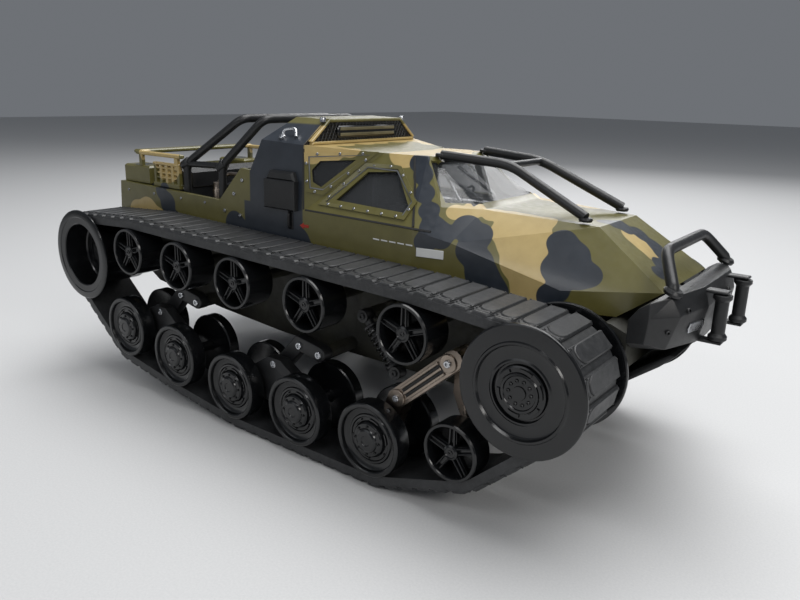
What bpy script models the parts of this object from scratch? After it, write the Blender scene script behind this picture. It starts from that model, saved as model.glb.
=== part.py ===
"""Tracked all-terrain model vehicle, 1:12: a faceted body on a hull between two rubber tracks.

Metres, +Z up, +X forward, +Y to the vehicle's left.  Stations along X are written from the
midpoint between the drive axle and the rear axle; one empty, chassis_frame, moves them all so that
the whole vehicle is centred on the origin.  Pieces that come in pairs are built once per side.
"""

import math

import bmesh
import bpy

# ---------------------------------------------------------------- driving dimensions
FRAME_X = -0.0127
SIDES = {"right": -1.0, "left": 1.0}

OUTER_FACE = 0.0956
TRACK_IN, TRACK_OUT = 0.0568, 0.0931
BELT = 0.0032
PAD = 0.0036
PAD_PITCH = 0.0105
GROOVE_HALF = 0.0008
RUN_GAP = 0.0003

DRIVE = (0.1698, 0.0763)
DRIVE_DRUM_R = 0.0215
DRIVE_DISC_R = 0.0302
REAR = (-0.1694, 0.0832)
REAR_DRUM_R = 0.0220
REAR_DISC_R = 0.0306

ROAD_R = 0.0199
ROAD_WHEELS = ((-0.1223, 0.0414), (-0.0713, 0.0332), (-0.0185, 0.0270), (0.0346, 0.0270), (0.0868, 0.0270))
LEAD = (0.1363, 0.0368)
LEAD_R = 0.0145
ROLLER_R = 0.0150
ROLLER_X = (-0.1136, -0.0639, -0.0131, 0.0428, 0.1067)
ROLLER_LINE = (0.0905, -0.0257)

ARM_PIVOTS = {"rear": (-0.0704, 0.0645), "mid": (0.0360, 0.0550)}
ARM_ELBOW = (-0.0160, 0.0030)
BOGIE_PIVOT = (-0.0288, -0.0105)
BOGIE_PAIRS = {"rear": (0, 1), "mid": (2, 3)}
FRONT_PIVOT = (0.1285, 0.0770)
FRONT_ELBOW = (0.0954, 0.0481)
LEAD_ELBOW = (0.1275, 0.0570)
SHOCK_TOP = (0.0660, 0.0835)
SHOCK_FOOT = (0.0880, 0.0575)

AXLE_R = 0.0030
BORE_R = 0.0033
STUB_R = 0.0040
STUB_END = 0.0690

HULL_HALF = 0.0480
HULL_WALL = 0.0025
HULL_TOP = 0.0992
SHELL_LOW = 0.0995
DECK_TOP = 0.1145
TUBE_R = 0.0026
CAGE_HALF = 0.0470


def line_z(x):
    """Height of a return roller's axis: the upper run climbs towards the rear."""
    return ROLLER_LINE[0] + ROLLER_LINE[1] * x


# ---------------------------------------------------------------- scene and materials
def clear_scene():
    for found in list(bpy.data.objects):
        bpy.data.objects.remove(found, do_unlink=True)


def material(name, colour, roughness, metallic=0.0, alpha=1.0):
    made = bpy.data.materials.new(name)
    made.use_nodes = True
    shader = made.node_tree.nodes["Principled BSDF"]
    shader.inputs["Base Color"].default_value = (*colour, 1.0)
    shader.inputs["Roughness"].default_value = roughness
    shader.inputs["Metallic"].default_value = metallic
    shader.inputs["Alpha"].default_value = alpha
    return made


clear_scene()
CAMO = material("camo_paint", (0.20, 0.18, 0.07), 0.45)
RUBBER = material("track_rubber", (0.030, 0.031, 0.034), 0.62)
BLACK = material("black_plastic", (0.022, 0.023, 0.025), 0.38)
GLOSS = material("gloss_black", (0.016, 0.017, 0.018), 0.22)
BRONZE = material("bronze_metal", (0.33, 0.25, 0.18), 0.35, 0.9)
STEEL = material("steel", (0.55, 0.55, 0.56), 0.3, 1.0)
GLASS = material("clear_plastic", (0.70, 0.74, 0.76), 0.06, 0.0, 0.35)
GREY = material("motor_grey", (0.30, 0.31, 0.33), 0.4, 0.6)

FRAME = bpy.data.objects.new("chassis_frame", None)
FRAME.location = (FRAME_X, 0.0, 0.0)
bpy.context.collection.objects.link(FRAME)


# ---------------------------------------------------------------- mesh helpers
def add(name, points, faces, finish, at=(0.0, 0.0, 0.0), smooth=False):
    """One closed mesh object under the chassis frame, with its faces turned outward."""
    mesh = bpy.data.meshes.new(name)
    mesh.from_pydata([tuple(p) for p in points], [], faces)
    shape = bmesh.new()
    shape.from_mesh(mesh)
    bmesh.ops.remove_doubles(shape, verts=shape.verts, dist=1e-7)
    bmesh.ops.triangulate(shape, faces=[f for f in shape.faces if len(f.verts) == 4 and not flat(f)])
    bmesh.ops.recalc_face_normals(shape, faces=shape.faces)
    if shape.calc_volume(signed=True) < 0.0:
        bmesh.ops.reverse_faces(shape, faces=shape.faces)
    shape.to_mesh(mesh)
    shape.free()
    if smooth:
        mesh.shade_smooth()
        mesh.set_sharp_from_angle(angle=math.radians(32.0))
    made = bpy.data.objects.new(name, mesh)
    made.data.materials.append(finish)
    made.location = at
    made.parent = FRAME
    bpy.context.collection.objects.link(made)
    return made


def flat(face):
    corners = [v.co for v in face.verts]
    normal = (corners[1] - corners[0]).cross(corners[2] - corners[0]).normalized()
    reach = (corners[3] - corners[0]).dot(normal)
    return abs(reach) < 1e-6


def boolean(target, others, operation):
    """Joins or cuts with the other objects, keeps the result as target's mesh, drops the others."""
    for other in others:
        step = target.modifiers.new(operation.lower(), "BOOLEAN")
        step.operation = operation
        step.solver = "EXACT"
        step.object = other
    bpy.context.view_layer.update()
    graph = bpy.context.evaluated_depsgraph_get()
    result = bpy.data.meshes.new_from_object(target.evaluated_get(graph))
    target.modifiers.clear()
    target.data = result
    for other in others:
        bpy.data.objects.remove(other, do_unlink=True)
    return target


def join(target, others):
    return boolean(target, others, "UNION")


def cut(target, others):
    return boolean(target, others, "DIFFERENCE")


def loft(name, sections, finish, at=(0.0, 0.0, 0.0), smooth=False):
    """Skin through closed sections that have the same number of points, with a cap at each end."""
    count = len(sections[0])
    points = [p for section in sections for p in section]
    faces = [tuple(range(count)), tuple((len(sections) - 1) * count + k for k in range(count))]
    for row in range(len(sections) - 1):
        low, high = row * count, (row + 1) * count
        for k in range(count):
            n = (k + 1) % count
            faces.append((low + k, low + n, high + n, high + k))
    return add(name, points, faces, finish, at, smooth)


def plate(name, outline, low, high, finish, at=(0.0, 0.0, 0.0), smooth=False):
    """An outline of (x, z) points extruded from y = low to y = high."""
    return loft(name, [[(x, y, z) for x, z in outline] for y in (low, high)], finish, at, smooth)


def box(name, low, high, finish):
    outline = ((low[0], low[2]), (high[0], low[2]), (high[0], high[2]), (low[0], high[2]))
    return plate(name, outline, low[1], high[1], finish)


def lathe(name, profile, side, sectors, finish, at):
    """Turns a profile of (radius, distance from the centre plane) about the Y axis through at."""
    points, faces, rows = [], [], []
    for radius, offset in profile:
        row = []
        for k in range(sectors if radius > 0.0 else 1):
            turn = 2.0 * math.pi * k / sectors
            row.append(len(points))
            points.append((radius * math.cos(turn), side * offset, radius * math.sin(turn)))
        rows.append(row)
    for one, two in zip(rows, rows[1:]):
        for k in range(sectors):
            n = (k + 1) % sectors
            ring = [one[k % len(one)], one[n % len(one)], two[n % len(two)], two[k % len(two)]]
            faces.append(tuple(dict.fromkeys(ring)))
    return add(name, points, faces, finish, (at[0], 0.0, at[1]), smooth=True)


def polar_solid(name, radii, offsets, sectors, filled, side, finish, at):
    """A wheel made of ring, layer and sector cells; filled(ring, layer, sector) says which are solid."""
    rings, layers = len(radii) - 1, len(offsets) - 1
    corner, points, faces = {}, [], []

    def vertex(ring, layer, sector):
        key = (ring, layer, sector % sectors if radii[ring] > 0.0 else 0)
        if key not in corner:
            turn = 2.0 * math.pi * key[2] / sectors
            corner[key] = len(points)
            across, up = radii[ring] * math.cos(turn), radii[ring] * math.sin(turn)
            points.append((across, side * offsets[layer], up))
        return corner[key]

    def solid(ring, layer, sector):
        inside = 0 <= ring < rings and 0 <= layer < layers
        return inside and filled(ring, layer, sector % sectors)

    def face(*keys):
        ring = tuple(dict.fromkeys(vertex(*key) for key in keys))
        if len(ring) > 2:
            faces.append(ring)

    for i in range(rings):
        for k in range(layers):
            for j in range(sectors):
                if not solid(i, k, j):
                    continue
                if not solid(i, k - 1, j):
                    face((i, k, j), (i + 1, k, j), (i + 1, k, j + 1), (i, k, j + 1))
                if not solid(i, k + 1, j):
                    face((i, k + 1, j), (i, k + 1, j + 1), (i + 1, k + 1, j + 1), (i + 1, k + 1, j))
                if not solid(i + 1, k, j):
                    face((i + 1, k, j), (i + 1, k + 1, j), (i + 1, k + 1, j + 1), (i + 1, k, j + 1))
                if i > 0 and not solid(i - 1, k, j):
                    face((i, k, j), (i, k, j + 1), (i, k + 1, j + 1), (i, k + 1, j))
                if not solid(i, k, j - 1):
                    face((i, k, j), (i, k + 1, j), (i + 1, k + 1, j), (i + 1, k, j))
                if not solid(i, k, j + 1):
                    face((i, k, j + 1), (i + 1, k, j + 1), (i + 1, k + 1, j + 1), (i, k + 1, j + 1))
    return add(name, points, faces, finish, (at[0], 0.0, at[1]), smooth=True)


def rod(name, start, end, radius, sides, finish):
    """A straight round bar between two points."""
    along = [b - a for a, b in zip(start, end)]
    length = math.sqrt(sum(v * v for v in along))
    along = [v / length for v in along]
    helper = (0.0, 0.0, 1.0) if abs(along[2]) < 0.9 else (0.0, 1.0, 0.0)
    u = cross(along, helper)
    size = math.sqrt(sum(v * v for v in u))
    u = [v / size for v in u]
    v = cross(along, u)
    sections = []
    for end_point in (start, end):
        ring = []
        for k in range(sides):
            turn = 2.0 * math.pi * (k + 0.5) / sides
            c, s = radius * math.cos(turn), radius * math.sin(turn)
            ring.append([end_point[i] + c * u[i] + s * v[i] for i in range(3)])
        sections.append(ring)
    return loft(name, sections, finish, smooth=True)


def cross(a, b):
    return [a[1] * b[2] - a[2] * b[1], a[2] * b[0] - a[0] * b[2], a[0] * b[1] - a[1] * b[0]]


def bent_tube(name, points, radius, sides, finish):
    """A round tube through the points, mitred at each bend."""
    sections = []
    last = len(points) - 1
    for k, point in enumerate(points):
        before = direction(points[k - 1], point) if k else direction(point, points[1])
        after = direction(point, points[k + 1]) if k < last else before
        middle = [a + b for a, b in zip(before, after)]
        length = math.sqrt(sum(v * v for v in middle))
        middle = [v / length for v in middle]
        u = cross(middle, (0.0, 0.03, 1.0))
        if k and math.hypot(*u) < 0.1:
            u = cross(middle, (1.0, 0.0, 0.0))
        size = math.hypot(*u)
        u = [v / size for v in u]
        if sections and sum(a * b for a, b in zip(u, last_u)) < 0.0:
            u = [-v for v in u]
        v = cross(middle, u)
        last_u = u
        ring = []
        for j in range(sides):
            turn = 2.0 * math.pi * (j + 0.5) / sides
            c, s = radius * math.cos(turn), radius * math.sin(turn)
            ring.append([point[i] + c * u[i] + s * v[i] for i in range(3)])
        sections.append(ring)
    return loft(name, sections, finish, smooth=True)


def direction(a, b):
    along = [q - p for p, q in zip(a, b)]
    length = math.sqrt(sum(v * v for v in along))
    return [v / length for v in along]


def strap_outline(points, half):
    """Outline of a flat bar of the given half width along a bent line, with round ends."""
    left, right = [], []
    for k, (x, z) in enumerate(points):
        ways = []
        if k:
            ways.append(direction(points[k - 1], (x, z)))
        if k < len(points) - 1:
            ways.append(direction((x, z), points[k + 1]))
        along = [sum(w[i] for w in ways) for i in (0, 1)]
        length = math.hypot(*along)
        along = [v / length for v in along]
        spread = half / max(0.6, sum(a * b for a, b in zip(along, ways[0])))
        left.append((x - along[1] * spread, z + along[0] * spread))
        right.append((x + along[1] * spread, z - along[0] * spread))
    outline = []
    outline += left
    outline += end_arc(points[-2], points[-1], half)
    outline += right[::-1]
    outline += end_arc(points[1], points[0], half)
    return outline


def end_arc(inner, tip, half):
    """Points of the round end at tip, from the left side to the right side."""
    way = direction(inner, tip)
    arc = []
    for turn in (60.0, 30.0, 0.0, -30.0, -60.0):
        c, s = math.cos(math.radians(turn)), math.sin(math.radians(turn))
        arc.append((tip[0] + half * (way[0] * c - way[1] * s), tip[1] + half * (way[1] * c + way[0] * s)))
    return arc


def pin_hole(centre, radius, low, high):
    """A cutter for a round hole along Y."""
    steps = 12
    turns = [2.0 * math.pi * k / steps for k in range(steps)]
    ring = [(centre[0] + radius * math.cos(t), centre[1] + radius * math.sin(t)) for t in turns]
    return plate("hole", ring, low, high, BLACK)


# ---------------------------------------------------------------- wheels
def road_wheel(name, centre, side):
    profile = (
        (0.0, 0.0950),
        (0.0100, 0.0942),
        (0.0163, 0.0932),
        (0.0178, OUTER_FACE),
        (ROAD_R, 0.0952),
        (ROAD_R, 0.0856),
        (AXLE_R, 0.0850),
        (AXLE_R, 0.0667),
        (ROAD_R, 0.0662),
        (ROAD_R, 0.0588),
        (0.0, 0.0584),
    )
    lathe(name, profile, side, 20, BLACK, centre)


def spoked_wheel(name, centre, radius, hub, depth, axle_to, side):
    """Thin rim, five spokes, a round hub; the hub reaches in to axle_to."""
    rim = radius - 0.0021
    radii = (0.0, hub, rim, radius)
    inner, web = OUTER_FACE - depth, OUTER_FACE - 0.0042
    offsets = (axle_to, inner, web, OUTER_FACE - 0.0016, OUTER_FACE)

    def filled(ring, layer, sector):
        if layer == 0:
            return ring == 0
        if layer == 1:
            return ring != 1
        if layer == 2:
            return ring != 1 or sector % 3 == 0
        return ring == 2

    first = 1 if inner - axle_to < 0.0001 else 0

    def present(ring, layer, sector):
        return filled(ring, layer + first, sector)

    return polar_solid(name, radii, offsets[first:], 15, present, side, BLACK, centre)


def drive_wheel(name, side):
    """Sprocket: outer disc, drum under the belt, inner flange, and the axle into the gearbox."""
    profile = (
        (0.0, 0.0950),
        (0.0110, 0.0950),
        (0.0125, 0.0938),
        (0.0240, 0.0938),
        (0.0255, OUTER_FACE),
        (DRIVE_DISC_R, OUTER_FACE),
        (DRIVE_DISC_R, 0.0936),
        (DRIVE_DRUM_R, 0.0934),
        (DRIVE_DRUM_R, 0.0562),
        (DRIVE_DISC_R, 0.0530),
        (DRIVE_DISC_R, 0.0512),
        (AXLE_R, 0.0508),
        (AXLE_R, 0.0425),
        (0.0, 0.0425),
    )
    lathe(name, profile, side, 28, GLOSS, DRIVE)


def rear_wheel(name, side):
    """Idler: wide flat ring, deep dish, drum under the belt."""
    profile = (
        (0.0, 0.0790),
        (0.0075, 0.0790),
        (0.0085, 0.0760),
        (0.0190, 0.0750),
        (0.0223, OUTER_FACE),
        (REAR_DISC_R, OUTER_FACE),
        (REAR_DISC_R, 0.0936),
        (REAR_DRUM_R, 0.0934),
        (REAR_DRUM_R, 0.0575),
        (0.0, 0.0575),
    )
    lathe(name, profile, side, 28, GLOSS, REAR)


# ---------------------------------------------------------------- tracks
def convex_outline(points):
    """Convex hull of (x, z) points, counter-clockwise."""
    points = sorted(set(points))
    halves = []
    for run in (points, points[::-1]):
        chain = []
        for p in run:
            while len(chain) > 1 and turn_of(chain[-2], chain[-1], p) <= 0.0:
                chain.pop()
            chain.append(p)
        halves.append(chain[:-1])
    return halves[0] + halves[1]


def turn_of(a, b, c):
    return (b[0] - a[0]) * (c[1] - a[1]) - (b[1] - a[1]) * (c[0] - a[0])


def belt_outline():
    """Inner surface of the belt: a taut line round every wheel."""
    circles = [(DRIVE, DRIVE_DRUM_R), (REAR, REAR_DRUM_R), (LEAD, LEAD_R)]
    circles += [(centre, ROAD_R) for centre in ROAD_WHEELS]
    circles += [((x, line_z(x)), ROLLER_R) for x in ROLLER_X]
    points = []
    for (x, z), radius in circles:
        for k in range(120):
            turn = math.radians(3.0 * k)
            reach = radius + RUN_GAP
            points.append((round(x + reach * math.cos(turn), 7), round(z + reach * math.sin(turn), 7)))
    return convex_outline(points)


class Loop:
    """A closed line that can be read at any distance along it."""

    def __init__(self, points):
        self.points = points
        self.starts = [0.0]
        for a, b in zip(points, points[1:] + points[:1]):
            self.starts.append(self.starts[-1] + math.dist(a, b))
        self.length = self.starts[-1]

    def at(self, distance):
        distance %= self.length
        k = max(i for i, s in enumerate(self.starts[:-1]) if s <= distance)
        a, b = self.points[k], self.points[(k + 1) % len(self.points)]
        share = (distance - self.starts[k]) / (self.starts[k + 1] - self.starts[k])
        return (a[0] + share * (b[0] - a[0]), a[1] + share * (b[1] - a[1]))

    def outward(self, distance):
        a, b = self.at(distance - 0.0015), self.at(distance + 0.0015)
        way = direction(a, b)
        return (way[1], -way[0])


def track(name, side):
    """Belt with one thick pad per pitch and a V groove between pads."""
    loop = Loop(belt_outline())
    pads = round(loop.length / PAD_PITCH)
    pitch = loop.length / pads
    inner, outer = [], []
    for pad in range(pads):
        start = pad * pitch
        bend = turn_between(loop.outward(start), loop.outward(start + pitch))
        marks = [(0.0, 0.0), (GROOVE_HALF, PAD), (pitch - GROOVE_HALF, PAD)]
        if bend > math.radians(8.0):
            marks.insert(2, (pitch * 0.5, PAD))
        for offset, height in marks:
            x, z = loop.at(start + offset)
            nx, nz = loop.outward(start + offset)
            inner.append((x, z))
            outer.append((x + nx * (BELT + height), z + nz * (BELT + height)))
    count = len(inner)
    points = []
    for ring in (inner, outer):
        for offset in (TRACK_IN, TRACK_OUT):
            points += [(x, side * offset, z) for x, z in ring]
    faces = []
    for k in range(count):
        n = (k + 1) % count
        faces.append((k, n, count + n, count + k))
        faces.append((2 * count + k, 3 * count + k, 3 * count + n, 2 * count + n))
        faces.append((k, 2 * count + k, 2 * count + n, n))
        faces.append((count + k, count + n, 3 * count + n, 3 * count + k))
    return add(name, points, faces, RUBBER)


def turn_between(a, b):
    return math.acos(max(-1.0, min(1.0, a[0] * b[0] + a[1] * b[1])))


# ---------------------------------------------------------------- suspension
def relative(points, origin):
    return [(x - origin[0], z - origin[1]) for x, z in points]


def add_arm(name, route, half, low, high, side, finish, holes):
    """A flat bar whose origin is its hull pivot, route[0]; holes are drilled for axles."""
    bounds = sorted((side * low, side * high))
    arm = plate(name, strap_outline(route, half), *bounds, finish)
    if holes:
        cut(arm, [pin_hole(hole, BORE_R, bounds[0] - 0.001, bounds[1] + 0.001) for hole in holes])
    set_origin(arm, (route[0][0], 0.0, route[0][1]))


def set_origin(made, origin):
    """Moves the object's origin without moving its shape."""
    for vertex in made.data.vertices:
        vertex.co = [c - o for c, o in zip(vertex.co, origin)]
    made.location = origin


def swing_arm(name, key, side):
    px, pz = ARM_PIVOTS[key]
    elbow = (px + ARM_ELBOW[0], pz + ARM_ELBOW[1])
    tip = (px + BOGIE_PIVOT[0], pz + BOGIE_PIVOT[1])
    add_arm(name, [(px, pz), elbow, tip], 0.0044, 0.0694, 0.0765, side, BLACK, [])


def bogie(name, key, side):
    """Triangular beam that carries two road wheels and rocks on its arm's tip."""
    px, pz = ARM_PIVOTS[key]
    tip = (px + BOGIE_PIVOT[0], pz + BOGIE_PIVOT[1])
    rear, front = (ROAD_WHEELS[k] for k in BOGIE_PAIRS[key])
    half = 0.0068
    outline = [
        (rear[0] - half, rear[1] + 0.002),
        (rear[0] - half * 0.7, rear[1] - half * 0.9),
        (rear[0] + half * 0.7, rear[1] - half * 0.9),
        (front[0] - half * 0.7, front[1] - half * 0.9),
        (front[0] + half * 0.7, front[1] - half * 0.9),
        (front[0] + half, front[1] + 0.002),
        (front[0] + half * 0.4, front[1] + half * 0.9),
        (tip[0] + 0.0050, tip[1] + 0.0035),
        (tip[0] - 0.0050, tip[1] + 0.0035),
        (rear[0] - half * 0.4, rear[1] + half * 0.9),
    ]
    bounds = sorted((side * 0.0768, side * 0.0838))
    beam = plate(name, outline, *bounds, BLACK)
    holes = [pin_hole(hole, BORE_R, bounds[0] - 0.001, bounds[1] + 0.001) for hole in (rear, front)]
    cut(beam, holes)
    set_origin(beam, (tip[0], 0.0, tip[1]))


def shock(name, side):
    """Coil-over damper between the hull bracket and the front arm."""
    offset = side * 0.0722
    route = [(SHOCK_TOP[0], SHOCK_TOP[1]), (SHOCK_FOOT[0], SHOCK_FOOT[1])]
    way = direction(*route)
    length = math.dist(*route)

    def point(share):
        return (route[0][0] + way[0] * share * length, offset, route[0][1] + way[1] * share * length)

    body = rod(name, point(0.0), point(1.0), 0.0024, 10, STEEL)
    spring = rod("spring", point(0.22), point(0.86), 0.0044, 10, BLACK)
    join(body, [spring])


def build_side(word, side):
    track(f"track_{word}", side)
    drive_wheel(f"drive_wheel_{word}", side)
    rear_wheel(f"rear_wheel_{word}", side)
    for number, x in enumerate(ROLLER_X, 1):
        centre = (x, line_z(x))
        spoked_wheel(f"return_roller_{word}_{number}", centre, ROLLER_R, 0.0042, 0.0178, 0.0778, side)
    for number, centre in enumerate(ROAD_WHEELS, 1):
        road_wheel(f"road_wheel_{word}_{number}", centre, side)
    spoked_wheel(f"lead_wheel_{word}", LEAD, LEAD_R, AXLE_R, 0.0122, 0.0676, side)
    swing_arm(f"swing_arm_{word}_rear", "rear", side)
    swing_arm(f"swing_arm_{word}_mid", "mid", side)
    front_route = [FRONT_PIVOT, FRONT_ELBOW, ROAD_WHEELS[4]]
    add_arm(f"swing_arm_{word}_front", front_route, 0.0050, 0.0734, 0.0832, side, BRONZE, [ROAD_WHEELS[4]])
    lead_route = [FRONT_PIVOT, LEAD_ELBOW, LEAD]
    add_arm(f"lead_arm_{word}", lead_route, 0.0048, 0.0694, 0.0730, side, BRONZE, [LEAD])
    bogie(f"bogie_{word}_rear", "rear", side)
    bogie(f"bogie_{word}_mid", "mid", side)
    shock(f"shock_absorber_{word}", side)


# ---------------------------------------------------------------- hull and what it holds
def lower_hull():
    """Open-topped tub between the tracks, with the stub axles that the running gear turns on."""
    profile = [
        (-0.1780, HULL_TOP),
        (-0.1780, 0.0760),
        (-0.1500, 0.0600),
        (-0.0800, 0.0525),
        (-0.0200, 0.0485),
        (0.1300, 0.0485),
        (0.1760, 0.0620),
        (0.1960, 0.0790),
        (0.1960, 0.0960),
        (0.1880, HULL_TOP),
    ]
    tub = plate("lower_hull", profile, -HULL_HALF, HULL_HALF, CAMO)
    inner = HULL_HALF - HULL_WALL
    cavity = [
        (-0.1750, HULL_TOP + 0.010),
        (-0.1750, 0.0780),
        (-0.1488, 0.0627),
        (-0.0798, 0.0551),
        (-0.0199, 0.0511),
        (0.1293, 0.0511),
        (0.1742, 0.0643),
        (0.1850, 0.0740),
        (0.1850, HULL_TOP + 0.010),
    ]
    cutters = [plate("cavity", cavity, -inner, inner, CAMO)]
    for side in SIDES.values():
        bounds = sorted((side * (inner - 0.002), side * (HULL_HALF + 0.002)))
        cutters.append(pin_hole(DRIVE, 0.0062, *bounds))
    cut(tub, cutters)
    stubs = []
    for side in SIDES.values():
        root = side * (HULL_HALF - 0.001)
        ends = [(pivot, STUB_R, STUB_END) for pivot in ARM_PIVOTS.values()]
        ends += [(FRONT_PIVOT, STUB_R, STUB_END), (REAR, 0.0060, 0.0571)]
        ends += [((x, line_z(x)), 0.0030, 0.0774) for x in ROLLER_X]
        ends += [(SHOCK_TOP, 0.0035, 0.0674)]
        for (x, z), radius, reach in ends:
            stubs.append(rod("stub", (x, root, z), (x, side * reach, z), radius, 8, CAMO))
    join(tub, stubs)


def hull_contents():
    box("battery_pack", (-0.1150, -0.0200, 0.0600), (-0.0250, 0.0200, 0.0840), GREY)
    box("radio_box", (0.0100, -0.0180, 0.0515), (0.0600, 0.0180, 0.0680), BLACK)
    for word, side in SIDES.items():
        bounds = sorted((side * 0.0050, side * 0.0415))
        case = box(f"drive_unit_{word}", (0.1250, bounds[0], 0.0675), (0.1760, bounds[1], 0.0930), GREY)
        socket = pin_hole(DRIVE, 0.0052, *sorted((side * 0.0380, side * 0.0430)))
        cut(case, [socket])


# ---------------------------------------------------------------- body shell
SHELL = {
    "rear_low": (-0.1824, 0.0545, SHELL_LOW),
    "rear_top": (-0.1797, 0.0545, 0.1300),
    "bed_step": (-0.0708, 0.0545, 0.1274),
    "buttress": (-0.0494, 0.0545, 0.1492),
    "cab_foot": (-0.0415, 0.0545, 0.1268),
    "cab_back": (-0.0411, 0.0540, 0.1486),
    "cab_back_top": (-0.0315, 0.0530, 0.1672),
    "flare": (0.0025, 0.0525, 0.1660),
    "waist": (0.0431, 0.0297, 0.1633),
    "roof_front": (0.0721, 0.0293, 0.1636),
    "crown_rear": (-0.0201, 0.0350, 0.1804),
    "crown_front": (0.0038, 0.0346, 0.1799),
    "belt_door": (0.0034, 0.0545, 0.1291),
    "belt_mid": (0.0814, 0.0545, 0.1284),
    "belt_pillar": (0.1024, 0.0505, 0.1240),
    "glass_rear": (0.0903, 0.0420, 0.1398),
    "glass_foot": (0.1095, 0.0312, 0.1396),
    "glass_top": (0.0734, 0.0228, 0.1634),
    "hood_front": (0.1688, 0.0241, 0.1373),
    "nose": (0.2046, 0.0322, 0.1132),
    "shelf_end": (0.1615, 0.0455, 0.1092),
    "low_mid": (0.0814, 0.0545, SHELL_LOW),
    "low_pillar": (0.1024, 0.0505, SHELL_LOW),
    "low_shelf": (0.1615, 0.0455, SHELL_LOW),
    "chin": (0.1860, 0.0370, SHELL_LOW),
}
SIDE_FACES = (
    ("rear_low", "low_mid", "belt_mid", "belt_door", "cab_foot", "bed_step", "rear_top"),
    ("bed_step", "cab_foot", "cab_back", "buttress"),
    ("low_mid", "low_pillar", "belt_pillar", "belt_mid"),
    ("low_pillar", "low_shelf", "shelf_end", "belt_pillar"),
    ("belt_pillar", "shelf_end", "nose"),
    ("shelf_end", "low_shelf", "chin"),
    ("shelf_end", "chin", "nose"),
    ("belt_pillar", "nose", "hood_front"),
    ("belt_pillar", "hood_front", "glass_foot"),
    ("belt_pillar", "glass_foot", "glass_rear"),
    ("glass_rear", "glass_foot", "glass_top", "roof_front"),
    ("belt_mid", "belt_pillar", "glass_rear"),
    ("belt_mid", "glass_rear", "roof_front"),
    ("belt_door", "belt_mid", "roof_front", "waist"),
    ("belt_door", "waist", "flare"),
    ("cab_foot", "belt_door", "flare", "cab_back_top", "cab_back"),
    ("flare", "crown_front", "crown_rear", "cab_back_top"),
)
CROSS_EDGES = (
    ("nose", "chin"),
    ("nose", "hood_front"),
    ("hood_front", "glass_foot"),
    ("glass_foot", "glass_top"),
    ("flare", "crown_front"),
    ("crown_front", "crown_rear"),
    ("crown_rear", "cab_back_top"),
    ("cab_back_top", "cab_back"),
    ("cab_back", "buttress"),
    ("buttress", "bed_step"),
    ("bed_step", "rear_top"),
    ("rear_top", "rear_low"),
)
SPAN_FACES = (
    ("flare", "waist", "roof_front", "glass_top"),
    ("rear_low", "low_mid", "low_pillar", "low_shelf", "chin"),
)


def mirrored(point):
    return (point[0], -point[1], point[2])


def shell_solid():
    names = list(SHELL)
    points = [SHELL[n] for n in names] + [mirrored(SHELL[n]) for n in names]
    left = {n: k for k, n in enumerate(names)}
    right = {n: k + len(names) for k, n in enumerate(names)}
    faces = []
    for ring in SIDE_FACES:
        faces.append(tuple(left[n] for n in ring))
        faces.append(tuple(right[n] for n in reversed(ring)))
    for a, b in CROSS_EDGES:
        faces.append((left[a], left[b], right[b], right[a]))
    for ring in SPAN_FACES:
        faces.append(tuple(left[n] for n in ring) + tuple(right[n] for n in reversed(ring)))
    return add("body_shell", points, faces, CAMO)


def cabin_cutter():
    """Inside of the cab and the nose, open below: (half width, height) at belt, waist and roof."""
    stations = (
        (-0.0370, (0.0510, 0.1240), (0.0500, 0.1400), (0.0490, 0.1560)),
        (0.0010, (0.0510, 0.1255), (0.0495, 0.1400), (0.0480, 0.1630)),
        (0.0120, (0.0505, 0.1255), (0.0440, 0.1400), (0.0430, 0.1618)),
        (0.0245, (0.0505, 0.1255), (0.0430, 0.1400), (0.0350, 0.1610)),
        (0.0340, (0.0505, 0.1255), (0.0430, 0.1400), (0.0290, 0.1606)),
        (0.0430, (0.0500, 0.1255), (0.0430, 0.1400), (0.0262, 0.1605)),
        (0.0690, (0.0495, 0.1250), (0.0425, 0.1400), (0.0258, 0.1605)),
        (0.1000, (0.0465, 0.1215), (0.0430, 0.1300), (0.0300, 0.1395)),
        (0.1120, (0.0450, 0.1195), (0.0380, 0.1290), (0.0280, 0.1362)),
        (0.1600, (0.0385, 0.1130), (0.0300, 0.1240), (0.0210, 0.1340)),
    )
    sections = []
    for x, belt, waist, roof in stations:
        half = [(x, belt[0] - 0.001, SHELL_LOW - 0.01)]
        half += [(x, y, z) for y, z in (belt, waist, roof)]
        sections.append(half + [mirrored(p) for p in reversed(half)])
    return loft("cabin", sections, CAMO)


def bed_cutters():
    above = box("bed", (-0.1770, -0.0515, DECK_TOP), (-0.0450, 0.0515, 0.2000), CAMO)
    below = box("under_bed", (-0.1785, -0.0515, 0.0900), (-0.0420, 0.0515, DECK_TOP - 0.0028), CAMO)
    return [above, below]


def on_facet(x, z, names):
    """The point at side-view position (x, z) on the plane through three shell corners."""
    a, b, c = (SHELL[n] for n in names)
    normal = cross([q - p for p, q in zip(a, b)], [q - p for p, q in zip(a, c)])
    return (x, a[1] - (normal[0] * (x - a[0]) + normal[2] * (z - a[2])) / normal[1], z)


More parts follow.
